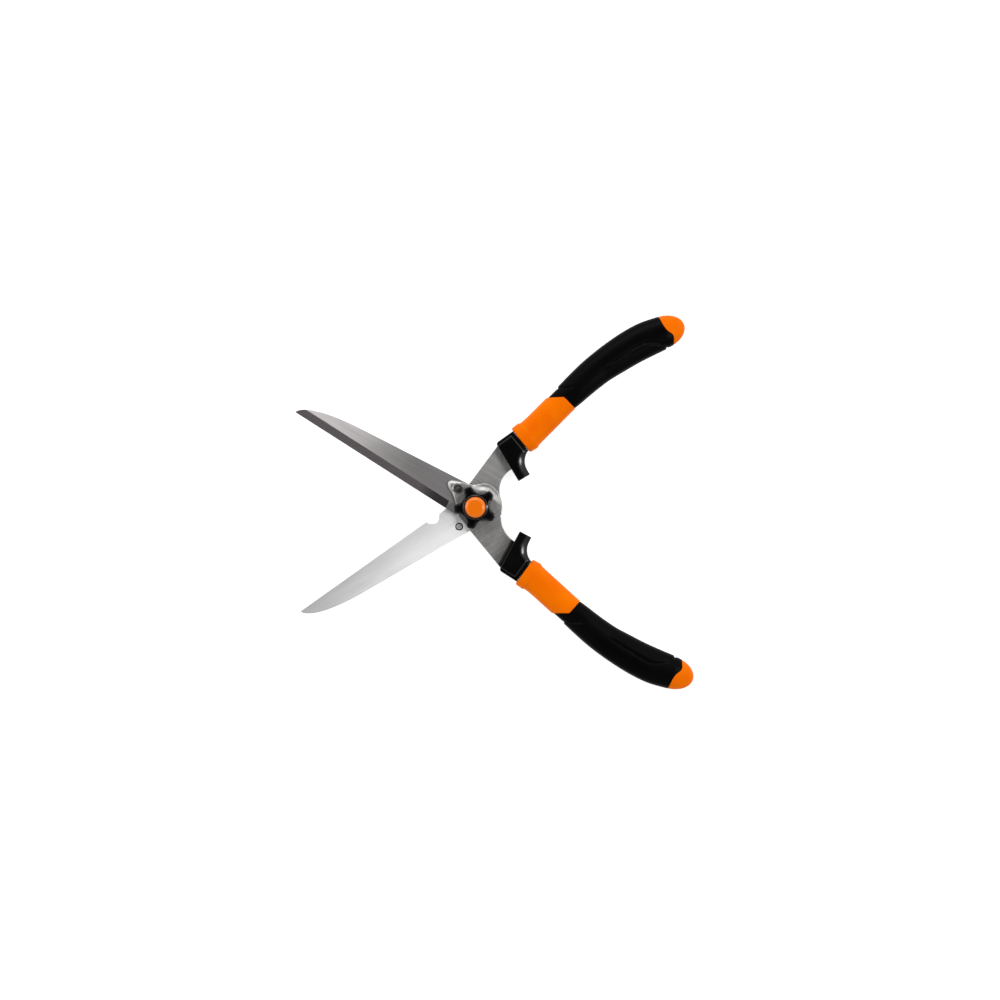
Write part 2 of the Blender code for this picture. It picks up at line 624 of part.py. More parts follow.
def make_knob(collection, cutters, knob_material, cap_material, nut_material):
    bore = BOLT_RADIUS + GAP
    nut_corner = NUT_ACROSS_FLATS / 2 / cos(pi / 6)
    star = extruded([star_outline()], KNOB_BASE, KNOB_LOBE_TOP)
    knob = place(star, "star_knob", collection, None, knob_material)
    soften(knob, 1.2, 2, 50.0)
    hub = turned([(0.0, KNOB_HUB_TOP), (CAP_RADIUS + 1.6, KNOB_HUB_TOP),
                  (KNOB_VALLEY_RADIUS - 0.6, KNOB_HUB_TOP - 1.0),
                  (KNOB_VALLEY_RADIUS - 0.4, KNOB_BASE + 1.0), (0.0, KNOB_BASE + 1.0)], 40)
    boolean(knob, place(hub, "knob_hub", cutters), "UNION")
    recess = cylinder(CAP_RADIUS + GAP, CAP_FLOOR, KNOB_HUB_TOP + 2.0, steps=40)
    boolean(knob, place(recess, "cap_recess", cutters))
    pocket = cylinder(nut_corner + 1.2 * GAP, NUT_BASE - GAP, CAP_FLOOR + 1.0, steps=6)
    boolean(knob, place(pocket, "nut_pocket", cutters))
    through = cylinder(bore, KNOB_BASE - 2.0, CAP_FLOOR)
    boolean(knob, place(through, "knob_bore", cutters))

    low = CAP_FLOOR + GAP
    cap_profile = [(0.0, CAP_TOP), (6.0, CAP_TOP - 0.15), (CAP_RADIUS - 1.8, CAP_TOP - 0.6),
                   (CAP_RADIUS - 0.5, CAP_TOP - 1.2), (CAP_RADIUS, CAP_TOP - 2.2),
                   (CAP_RADIUS, low), (0.0, low)]
    cap = place(turned(cap_profile, 40), "knob_cap", collection, None, cap_material)

    nut = place(cylinder(nut_corner, NUT_BASE, NUT_BASE + NUT_HEIGHT, steps=6), "knob_nut", collection, None,
                nut_material)
    boolean(nut, place(cylinder(bore, NUT_BASE - 1.0, NUT_BASE + NUT_HEIGHT + 1.0), "nut_bore", cutters))
    return knob, cap, nut


# ---- assembly ----------------------------------------------------------------------------------------

def main():
    clear_scene()
    shears = new_collection("grass_shears")
    cutters = new_collection("cutters")
    materials = {name: new_material(name) for name in COLOURS}

    plane = Matrix.Translation((0.0, 0.0, BLADE_PLANE * MM))
    half = radians(HALF_OPEN_DEG)
    turned_over = Matrix.Rotation(-half, 4, "Z") @ Matrix.Rotation(pi, 4, "X")
    levers = {
        "rear": new_empty("rear_lever", shears, plane @ Matrix.Rotation(half, 4, "Z")),
        "front": new_empty("front_lever", shears, plane @ turned_over),
    }
    neck = BOLT_NECK_HALF + GAP
    bores = {
        "rear": [(-neck, -neck), (neck, -neck), (neck, neck), (-neck, neck)],
        "front": circle((0.0, 0.0), BUSH_RADIUS + GAP),
    }
    for side, lever in levers.items():
        make_blade(side, side == "rear", shears, cutters, lever, materials["blade_steel"])
        make_tang(side, bores[side], shears, lever, materials["tang_steel"])
        make_rivet(side, shears, lever, materials["rivet_steel"])
        make_collar(side, shears, cutters, lever, materials["bumper_black"])
        make_handle(side, shears, cutters, lever, materials["handle_orange"], materials["grip_black"])
        make_pin(side, shears, lever, materials["zinc_steel"])

    make_bolt(shears, cutters, materials["zinc_steel"])
    rear_tang_top = BLADE_PLANE - GAP / 2 - BLADE_THICK - GAP
    front_tang_top = BLADE_PLANE + GAP / 2 + BLADE_THICK + GAP + TANG_THICK
    ring("pivot_bush", BOLT_RADIUS + GAP, BUSH_RADIUS, rear_tang_top + GAP, front_tang_top - GAP, shears,
         materials["zinc_steel"])
    washer_low = front_tang_top + GAP
    ring("plain_washer", BOLT_RADIUS + GAP, WASHER_RADIUS, washer_low, washer_low + WASHER_THICK, shears,
         materials["zinc_steel"])
    make_spring_washer(washer_low + WASHER_THICK + GAP, shears, materials["zinc_steel"])
    make_knob(shears, cutters, materials["knob_black"], materials["handle_orange"], materials["zinc_steel"])
    bpy.context.view_layer.update()


main()
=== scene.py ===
"""Looks of the grass shears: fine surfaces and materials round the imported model, and the picture.

Lengths are in millimetres up to the point where a mesh is made. The pieces of a lever are drawn in
the lever's own frame: the pivot is the origin, X runs to the handle, Y to the side that the handle
is on, and Z is 0 in the plane where the blades rub. The blade and the head of the tang lie on the
-Z side of that plane, and the handle is centred on it.
"""

from math import atan2, cos, hypot, pi, radians, sin, tan

import bpy
import numpy as np
from mathutils import Matrix, Vector
from mathutils.geometry import delaunay_2d_cdt


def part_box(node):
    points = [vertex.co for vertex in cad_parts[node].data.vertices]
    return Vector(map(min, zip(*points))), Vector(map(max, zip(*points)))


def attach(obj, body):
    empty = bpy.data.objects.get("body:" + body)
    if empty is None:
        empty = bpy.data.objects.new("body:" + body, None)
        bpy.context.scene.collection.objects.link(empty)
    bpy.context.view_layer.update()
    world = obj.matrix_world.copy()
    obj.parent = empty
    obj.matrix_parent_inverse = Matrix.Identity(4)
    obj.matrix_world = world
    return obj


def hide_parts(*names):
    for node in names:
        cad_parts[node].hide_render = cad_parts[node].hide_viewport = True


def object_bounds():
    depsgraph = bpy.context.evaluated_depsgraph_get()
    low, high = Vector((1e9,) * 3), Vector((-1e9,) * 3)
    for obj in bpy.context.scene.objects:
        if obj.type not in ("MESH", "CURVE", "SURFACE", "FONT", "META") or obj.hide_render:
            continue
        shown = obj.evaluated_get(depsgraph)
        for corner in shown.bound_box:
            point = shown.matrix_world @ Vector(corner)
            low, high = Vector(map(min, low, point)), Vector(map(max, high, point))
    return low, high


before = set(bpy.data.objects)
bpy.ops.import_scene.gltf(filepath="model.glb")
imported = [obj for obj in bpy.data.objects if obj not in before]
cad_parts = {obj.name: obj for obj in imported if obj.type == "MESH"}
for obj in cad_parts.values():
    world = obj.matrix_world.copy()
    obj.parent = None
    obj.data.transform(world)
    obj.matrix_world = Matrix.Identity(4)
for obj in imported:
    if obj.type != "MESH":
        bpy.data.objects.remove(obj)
cad_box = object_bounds()

MM = 0.001
HALF_OPEN_DEG = 29.5  # each lever's turn away from the line where the shears close

# Heights along the pivot axis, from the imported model
BLADE_PLANE = (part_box("rear_blade")[1].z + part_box("front_blade")[0].z) / 2 / MM
BLADE_THICK = (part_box("rear_blade")[1].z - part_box("rear_blade")[0].z) / MM
FACE = BLADE_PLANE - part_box("rear_blade")[1].z / MM  # from that plane to a blade's flat side
GAP = 2 * FACE  # between pieces that touch on the real tool
TANG_THICK = 4.0
TANG_LEVEL = -(FACE + BLADE_THICK + GAP + TANG_THICK / 2)

# Blade
BLADE_REACH = 244.5
EDGE_SLOPE = 0.078
EDGE_AT_PIVOT = 20.0
EDGE_START_X = -17.0  # where the edge's line leaves the round heel
EDGE_LAND = 0.5  # thickness left along the edge
BEVEL_WIDTH = 9.6
BEVEL_RUN_OUT = 0.5
FRONT_BEVEL_END = -31.0
REAR_BEVEL_END = -59.3  # at the branch notch
BRANCH_NOTCH = [(-41.3, 15.6), (-46.3, 9.4), (-51.0, 8.5), (-58.2, 12.6)]
NOSE = (0.8, -1.9)  # from the tip to the start of the belly
BELLY_HANDLES = [(-234.0, -13.5), (-200.0, -18.3)]
SPINE_FRONT = (-165.0, -18.7)
SPINE_HEEL = (-19.0, -20.9)
HEEL_RADIUS = 20.5
HEEL_DEG = (-132.0, 128.0)
BUSH_HOLE_RADIUS = 6.3

# Tang plate
OUTER_SHOULDER = (60.2, 49.6)
OUTER_SLOPE = 0.414
INTO_COLLAR = 2.0  # the plate's shoulders lie this far inside the collar
PLATE_TOP_X = -14.0
BLADE_END = [
    (-22.0, 8.0), (-31.0, -0.8), (-39.6, -5.6), (-43.2, -11.3), (-40.2, -15.3), (-30.0, -18.6),
]
HEAD_RADIUS = 32.6
HEAD_DEG = (-84.0, -7.0)
HEAD_LEAD = [(-13.9, -23.6), (-8.6, -27.2), (-3.0, -30.8)]
INNER_EDGE = {  # the arm's inner edge: centre, radius, first and last angle of its arc
    "rear": ((60.7, -12.5), 29.4, 157.8, 91.0),
    "front": ((63.8, -19.8), 34.1, 150.5, 96.1),
}
JOGGLE_X = {"rear": (60.4, 66.0), "front": (56.0, 63.0)}
JOGGLE_Y = (12.0, 52.0)  # the arm lies between these where it steps to mid height
HEAD_FALL = 2.1  # how far the pressed slope round the head goes down
HEAD_SLOPE = (3.4, 9.8)  # its foot and its top, as distances from the edge
END_FALL = 1.5  # the same at the end over the blade
END_SLOPE = 3.6
TAIL_ROOT_Y = 31.4
TAIL_SLOPE = 0.2485
TAIL_END_X = 186.0
TAIL_ROOT_WIDTH = 16.0
TAIL_END_WIDTH = 10.0
RIVET_AT = (-28.5, -9.9)
RIVET_HOLE_RADIUS = 3.3
RIVET_RING_RADIUS = 4.75  # the ring round the rear rivet's flush end

# Bumper collar
COLLAR_FRONT_X = 60.5
COLLAR_HALF_THICK = (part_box("rear_bumper")[1].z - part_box("rear_bumper")[0].z) / 2 / MM
COLLAR_OUTER_Y = 53.2  # at the front, from where it rises by the taper
COLLAR_TAPER = 0.085
COLLAR_REAR = (84.0, 55.2)
COLLAR_REAR_INNER_Y = 25.0
COLLAR_CORNER_RADIUS = 3.6
BORDER_WIDTH = 4.0
BORDER_DROP = 0.8
BORDER_STEP = 0.8  # half the width of the step down to the border
BORDER_REAR = (82.4, 40.0, 0.148)  # a point of the border's rear line, and its lean
HORN_END_Y = 0.2
HORN_WIDTH = 15.8
HORN_ARC_CENTRE = (97.0, 6.5)
HORN_ARC_RADIUS = 20.6
HORN_ARC_DEG = (114.0, 178.0)
HORN_FALL = 3.2  # how far the horn rounds over to its throat
HORN_FALL_WIDTH = 11.0

# Handle sections: x, y of the centre, half width, half thickness, tilt in degrees
FLANGE = [
    (87.8, 40.7, 16.3, 11.0, 8.0),
    (88.1, 40.7, 17.4, 11.9, 8.0),
    (88.9, 40.8, 18.2, 12.3, 8.0),
    (90.3, 40.9, 18.4, 12.5, 8.2),
    (97.6, 41.4, 18.9, 12.4, 9.0),
    (98.9, 41.6, 18.75, 12.3, 9.5),
    (99.9, 41.8, 18.2, 12.15, 10.5),
    (100.6, 41.9, 17.6, 12.0, 11.5),
    (101.5, 42.0, 17.4, 11.85, 12.0),
]
BODY = [
    (101.5, 42.0, 17.4, 11.85, 12.0),
    (112.0, 44.3, 17.0, 11.6, 14.0),
    (140.0, 51.3, 16.9, 11.6, 14.0),
    (160.0, 56.2, 16.8, 12.0, 13.3),
    (180.0, 60.8, 17.6, 12.5, 12.0),
    (200.0, 64.7, 18.5, 12.8, 9.0),
    (220.0, 67.3, 19.2, 12.95, 5.5),
    (240.0, 68.7, 20.0, 13.0, 2.5),
    (260.0, 69.0, 20.7, 13.0, -1.5),
    (280.0, 67.8, 20.9, 12.9, -6.5),
    (300.0, 64.6, 19.7, 12.4, -12.0),
]
END_LENGTH = 28.2
END_DEG = -11.0
END_INSET = 0.25  # keeps the rounded end inside the CAD model
SECTION_POWER = 2.3
AROUND = 96  # points round a handle section
ANGLES = np.arange(AROUND) * 2 * pi / AROUND
HANDLE_GAP = 0.3  # between the core and the grip
GRIP_THICK = 2.5
GRIP_INSIDE = 2.1  # depth of the drawn sleeve's inside
GRIP_FRONT = [(125.0, 77.9), (159.0, 59.0), (167.4, 25.0)]
GRIP_REAR = [
    (300.0, 28.0), (304.5, 44.7), (308.8, 54.5), (305.2, 66.0), (305.6, 82.3), (309.0, 96.0),
]
GRIP_STEP = [(146.0, 79.0), (160.5, 71.8), (185.0, 58.5)]
PANEL_LINE = [
    (298.0, 41.0), (295.0, 46.5), (289.5, 54.5), (284.0, 59.3), (277.0, 63.2), (268.0, 65.0),
    (250.0, 64.6), (230.0, 63.5), (212.0, 62.0),
]
STEP_DROP = 1.3  # in front of the grip's step
STEP_GROOVE = 0.9
PANEL_GROOVE = 1.1
PANEL_RISE = 0.9
CROWN_DROP = 0.7  # takes the panel's height off the thick middle of the grip

# Pivot stack
BOLT_HEAD_HEIGHT = 5.25
BOLT_HEAD_RADIUS = 10.3
BOLT_HEAD_EDGE = 1.5  # height of the head's upright edge and its chamfer
BOLT_FLAT_RADIUS = 4.5
BOLT_RADIUS = 4.0
NECK_HEIGHT = 4.05
THREAD_PITCH = 1.25
THREAD_DEPTH = 0.55
THREAD_FLANK = 0.62
THREAD_END = 20.0
BORE_RADIUS = 4.3  # holes round the bolt
KNOB_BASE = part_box("star_knob")[0].z / MM
KNOB_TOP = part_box("star_knob")[1].z / MM
KNOB_LOBE_TOP = KNOB_TOP - 3.4
KNOB_LOBES = 5
KNOB_FIRST_LOBE_DEG = 39.2
KNOB_VALLEY_RADIUS = 17.2
KNOB_SCALLOP_RADIUS = 9.8
KNOB_TIP_RADIUS = 26.3
KNOB_CORNER_INSET = 3.6  # from the tip in to the centres of the lobe's two corners
KNOB_CORNER_RADIUS = 3.4
KNOB_CORNER_DEG = 4.6  # from the lobe's middle to each of those centres
KNOB_EDGE = 1.5  # the lobes' rounded edge
KNOB_FOOT_RADIUS = (13.0, 14.0)  # the underside steps up between these
KNOB_FOOT = 0.9
CAP_RADIUS = 12.6
CAP_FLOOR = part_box("knob_cap")[0].z / MM
CAP_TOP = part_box("knob_cap")[1].z / MM

# Picture
VIEW_WIDTH = 1200.0
VIEW_CENTRE = (29.7, 8.05)
VIEW_TURN_DEG = -1.45
LENS = 120.0
SENSOR = 36.0
FLOOR_HALF_SIDE = 6.0  # in metres
FLOOR_DROP = 0.4  # below the shears
FLOOR_GLOW = 0.80  # the floor is lit from below as well
TENT_LIGHT = 1.24  # the light tent's walls
TENT_DARK = 0.05  # its open mouth, straight above
TENT_WALL_DEG = 38.0
TENT_MOUTH_DEG = 13.0
TENT_NEAR_SIDE = 0.45  # its side towards -Y is this dim
TENT_SIDE_FADE = (-0.8, 0.1)  # where that dimness ends, as the Y of a direction


# ---- flat outlines ----

def arc(centre, radius, start_deg, end_deg, steps):
    """Points along an arc, both ends included."""
    angles = [radians(start_deg + (end_deg - start_deg) * i / steps) for i in range(steps + 1)]
    return [(centre[0] + radius * cos(a), centre[1] + radius * sin(a)) for a in angles]


def circle(centre, radius, steps=64):
    """Points round a circle, anticlockwise."""
    return arc(centre, radius, 0.0, 360.0, steps)[:-1]


def smooth(points, steps=8):
    """A Catmull-Rom curve through the points, both ends included."""
    padded = [points[0], *points, points[-1]]
    curve = []
    for a, b, c, d in zip(padded, padded[1:], padded[2:], padded[3:]):
        for i in range(steps):
            t = i / steps
            curve.append(tuple(
                0.5 * (2 * q + (r - p) * t + (2 * p - 5 * q + 4 * r - s) * t ** 2
                       + (3 * q - p - 3 * r + s) * t ** 3)
                for p, q, r, s in zip(a, b, c, d)))
    return [*curve, points[-1]]


def bezier(start, handle_a, handle_b, end, steps=24):
    """Points along a cubic curve, both ends included."""
    curve = []
    for i in range(steps + 1):
        t = i / steps
        weights = ((1 - t) ** 3, 3 * t * (1 - t) ** 2, 3 * t ** 2 * (1 - t), t ** 3)
        corners = (start, handle_a, handle_b, end)
        curve.append(tuple(sum(w * p[k] for w, p in zip(weights, corners)) for k in (0, 1)))
    return curve


def fillet(before, corner, after, radius, steps=8):
    """The round that replaces a corner between two straight edges."""
    here, back, on = Vector(corner), Vector(before), Vector(after)
    u, v = (back - here).normalized(), (on - here).normalized()
    half = u.angle(v) / 2
    reach = radius / tan(half)
    centre = here + (u + v).normalized() * (radius / sin(half))
    first, last = here + u * reach - centre, here + v * reach - centre
    start = atan2(first.y, first.x)
    sweep = (atan2(last.y, last.x) - start + pi) % (2 * pi) - pi
    angles = [start + sweep * i / steps for i in range(steps + 1)]
    return [(centre.x + radius * cos(a), centre.y + radius * sin(a)) for a in angles]


def edge_y(x):
    """Height of the cutting edge's line at x."""
    return EDGE_AT_PIVOT + EDGE_SLOPE * x


def blade_outline(notched):
    """The blade from the tip round the spine and the heel, back along the cutting edge."""
    tip = (-BLADE_REACH, edge_y(-BLADE_REACH))
    nose = (tip[0] + NOSE[0], tip[1] + NOSE[1])
    belly = bezier(nose, *BELLY_HANDLES, SPINE_FRONT)
    heel = arc((0.0, 0.0), HEEL_RADIUS, *HEEL_DEG, 48)
    edge = [(EDGE_START_X, edge_y(EDGE_START_X))]
    if notched:
        edge += [*smooth(BRANCH_NOTCH), (REAR_BEVEL_END, edge_y(REAR_BEVEL_END))]
    return [tip, *belly, SPINE_HEEL, *heel, *edge]


def tail_y(x):
    """Centre line of the tang's tail."""
    return TAIL_ROOT_Y + TAIL_SLOPE * (x - COLLAR_FRONT_X)


def tang_outline(lever_side):
    """The tang plate and its tail, anticlockwise from the outer shoulder."""
    plate_top_y = OUTER_SHOULDER[1] - (OUTER_SHOULDER[0] - PLATE_TOP_X) * OUTER_SLOPE
    blade_end = smooth([(PLATE_TOP_X, plate_top_y), *BLADE_END, SPINE_HEEL])
    head = arc((0.0, 0.0), HEAD_RADIUS, *HEAD_DEG, 40)
    head = [*smooth([SPINE_HEEL, *HEAD_LEAD, head[0]], 4)[1:-1], *head]
    inner = arc(*INNER_EDGE[lever_side], 24)
    shoulder_x = OUTER_SHOULDER[0] + INTO_COLLAR
    shoulders = [(shoulder_x, y) for y in (inner[-1][1], OUTER_SHOULDER[1])]
    tail = []
    for side in (-1, 1):
        run = [(shoulder_x, TAIL_ROOT_WIDTH), (TAIL_END_X, TAIL_END_WIDTH)]
        corners = [(x, tail_y(x) + side * width / 2) for x, width in run]
        tail += corners if side < 0 else corners[::-1]
    return [OUTER_SHOULDER, *blade_end, *head, *inner, shoulders[0], *tail, shoulders[1]]


def collar_outline():
    """The bumper collar: a block behind the tang's shoulder, with a horn to the closing line."""
    front, horn_end = COLLAR_FRONT_X, (COLLAR_FRONT_X + HORN_WIDTH, HORN_END_Y)
    corner = fillet((front, 20.0), (front, COLLAR_OUTER_Y), COLLAR_REAR, COLLAR_CORNER_RADIUS)
    lean = tan(radians(FLANGE[0][4]))
    behind = FLANGE[0][0] - GAP - 0.1 + lean * FLANGE[0][1]
    rear = [(behind - lean * y, y) for y in (COLLAR_REAR_INNER_Y, COLLAR_REAR[1])]
    throat = arc(HORN_ARC_CENTRE, HORN_ARC_RADIUS, *HORN_ARC_DEG, 20)
    return [(front, HORN_END_Y), horn_end, *throat[::-1], *rear, *corner[::-1]]


def star_outline():
    """Five lobes, left between round scallops, each with two rounded corners."""
    points = []
    step = 360.0 / KNOB_LOBES
    scallop_centre = KNOB_VALLEY_RADIUS + KNOB_SCALLOP_RADIUS
    corner_centre = KNOB_TIP_RADIUS - KNOB_CORNER_INSET
    for lobe in range(KNOB_LOBES):
        middle = KNOB_FIRST_LOBE_DEG + lobe * step
        for side in (-1, 1):
            heading = radians(middle + side * KNOB_CORNER_DEG)
            centre = (corner_centre * cos(heading), corner_centre * sin(heading))
            turn = middle + side * 40.0
            points += arc(centre, KNOB_CORNER_RADIUS, turn - 38.0, turn + 38.0, 10)
        valley = radians(middle + step / 2)
        centre = (scallop_centre * cos(valley), scallop_centre * sin(valley))
        turn = middle + step / 2 + 180.0
        points += arc(centre, KNOB_SCALLOP_RADIUS, turn + 52.0, turn - 52.0, 24)
    return points


# ---- meshes ----

def mesh_from(name, verts, faces, sharp_deg=40.0):
    """A smooth-shaded mesh from millimetre points."""
    mesh = bpy.data.meshes.new(name)
    mesh.from_pydata([tuple(float(c) * MM for c in v) for v in verts], [], faces)
    mesh.shade_smooth()
    mesh.set_sharp_from_angle(angle=radians(sharp_deg))
    return mesh


def subdivided(loop, step):
    """The closed outline with no stretch between points longer than about step."""
    points = []
    for (ax, ay), (bx, by) in zip(loop, [*loop[1:], loop[0]]):
        pieces = max(1, round(hypot(bx - ax, by - ay) / step))
        points += [(ax + (bx - ax) * i / pieces, ay + (by - ay) * i / pieces)
                   for i in range(pieces)]
    return points


class Region:
    """A flat region inside its outline and outside its holes."""

    def __init__(self, loops):
        self.points = np.vstack([np.array(loop) for loop in loops])
        self.edges = []
        first = 0
        for loop in loops:
            n = len(loop)
            self.edges += [(first + i, first + (i + 1) % n) for i in range(n)]
            first += n
        self.a = self.points[[e[0] for e in self.edges]]
        self.b = self.points[[e[1] for e in self.edges]]

    def distance(self, points):
        """Distance from each point to the region's edge."""
        along = self.b - self.a
        length = (along ** 2).sum(1)
        result = []
        for chunk in np.array_split(points, max(1, len(points) // 500)):
            offset = chunk[:, None] - self.a
            t = np.clip((offset * along).sum(2) / length, 0.0, 1.0)
            result.append(np.sqrt(((offset - t[..., None] * along) ** 2).sum(2)).min(1))
        return np.concatenate(result)

    def holds(self, points):
        """Whether each point is inside."""
        result = []
        for chunk in np.array_split(points, max(1, len(points) // 500)):
            px, py = chunk[:, :1], chunk[:, 1:]
            (ax, ay), (bx, by) = self.a.T, self.b.T
            straddles = (ay > py) != (by > py)
            rise = np.where(by == ay, 1.0, by - ay)
            crossed = straddles & (px < (bx - ax) * (py - ay) / rise + ax)
            result.append(crossed.sum(1) % 2 == 1)
        return np.concatenate(result)

    def rings(self, distances):
        """Points at each distance inside the edge."""
        before = dict((b, a) for a, b in self.edges)
        after = dict(self.edges)
        found = []
        for i, here in enumerate(self.points):
            u = here - self.points[before[i]]
            v = self.points[after[i]] - here
            normal = np.array([-(u[1] / hypot(*u) + v[1] / hypot(*v)),
                               u[0] / hypot(*u) + v[0] / hypot(*v)])
            size = hypot(*normal)
            if size > 1e-6:
                found += [here + side * normal * min(1.6, 2 / size) / size * d
                          for d in distances for side in (-1, 1)]
        found = np.array(found)
        wanted = np.tile(np.repeat(distances, 2), len(found) // (2 * len(distances)))
        near = self.distance(found)
        return found[self.holds(found) & (near > 0.96 * wanted)]


def pillow(name, loops, top, bottom, rings, spacing, lines=(), sharp_deg=40.0):
    """A closed mesh over a flat region. top and bottom give heights from x, y and edge distance.

    rings are the distances from the edge at which it has extra rows of points, spacing is the
    distance between points elsewhere, and lines are open polylines that the triangles keep to, for
    a crease or a round feature.
    """
    region = Region([subdivided(loop, spacing) for loop in loops])
    low, high = region.points.min(0), region.points.max(0)
    rows = np.arange(low[1], high[1], spacing * 0.87)
    grid = np.array([(x + spacing / 2 * (j % 2), y) for j, y in enumerate(rows)
                     for x in np.arange(low[0], high[0], spacing)])
    grid = grid[region.holds(grid)]
    grid = grid[region.distance(grid) > max(rings) + 0.6 * spacing]
    inner = np.vstack([region.rings(rings), grid])
    points = [Vector(p) for p in (*region.points, *inner)]
    edges = list(region.edges)
    for line in lines:
        start = len(points)
        points += [Vector(p) for p in line]
        edges += [(start + i, start + i + 1) for i in range(len(line) - 1)]
    flat, _, faces, _, _, _ = delaunay_2d_cdt(points, edges, [], 1, 1e-5)
    flat = np.array([tuple(p) for p in flat])
    middles = np.array([flat[list(face)].mean(0) for face in faces])
    faces = [face for face, keep in zip(faces, region.holds(middles)) if keep]
    used = sorted({i for face in faces for i in face})
    place = {old: new for new, old in enumerate(used)}
    faces = [tuple(place[i] for i in face) for face in faces]
    flat = flat[used]
    x, y = flat.T
    d = region.distance(flat)
    d[d < 1e-4] = 0.0
    n = len(flat)
    verts = [*zip(x, y, top(x, y, d)), *zip(x, y, bottom(x, y, d))]
    ways = {(f[i], f[(i + 1) % 3]) for f in faces for i in range(3)}
    walls = [(b, a, a + n, b + n) for a, b in ways if (b, a) not in ways]
    under = [(a + n, c + n, b + n) for a, b, c in faces]
    return mesh_from(name, verts, [*faces, *under, *walls], sharp_deg)


def rim(d, width, drop):
    """How far an elliptical rounded edge lies below its face, at distance d from the outline."""
    t = np.clip(d / width, 0.0, 1.0)
    return drop * (1.0 - np.sqrt(np.clip(1.0 - (1.0 - t) ** 2, 0.0, 1.0)))


def rim_rings(width, steps=6):
    """Distances that follow a rounded edge evenly."""
    return [width * (1.0 - cos(pi / 2 * i / steps)) for i in range(1, steps + 1)]


def ease(value, start, end):
    """0 before start, 1 after end, smooth between them."""
    t = np.clip((value - start) / (end - start), 0.0, 1.0)
    return t * t * (3.0 - 2.0 * t)


def turned(name, profile, steps=96, sharp_deg=35.0):
    """A mesh turned about Z from (radius, height) points down its outer side.

    A point of radius 0 makes a pole. A profile that starts off the axis is closed into a ring.
    """
    verts, rows = [], []
    for r, z in profile:
        if r == 0:
            rows.append([len(verts)] * steps)
            verts.append((0.0, 0.0, z))
        else:
            rows.append([len(verts) + k for k in range(steps)])
            turns = [2 * pi * k / steps for k in range(steps)]
            verts += [(r * cos(turn), r * sin(turn), z) for turn in turns]
    closed = profile[0][0] > 0
    pairs = list(zip(rows, rows[1:])) + ([(rows[-1], rows[0])] if closed else [])
    faces = []
    for upper, lower in pairs:
        for k in range(steps):
            j = (k + 1) % steps
            corners = dict.fromkeys((upper[k], lower[k], lower[j], upper[j]))
            faces.append(tuple(corners))
    return mesh_from(name, verts, [f for f in faces if len(f) > 2], sharp_deg)


# ---- materials ----

IN_PLANE = Matrix.Translation((0, 0, BLADE_PLANE * MM))
LEVER = {
    "rear": IN_PLANE @ Matrix.Rotation(radians(HALF_OPEN_DEG), 4, "Z"),
    "front": IN_PLANE @ Matrix.Rotation(radians(-HALF_OPEN_DEG), 4, "Z")
             @ Matrix.Rotation(pi, 4, "X"),
}


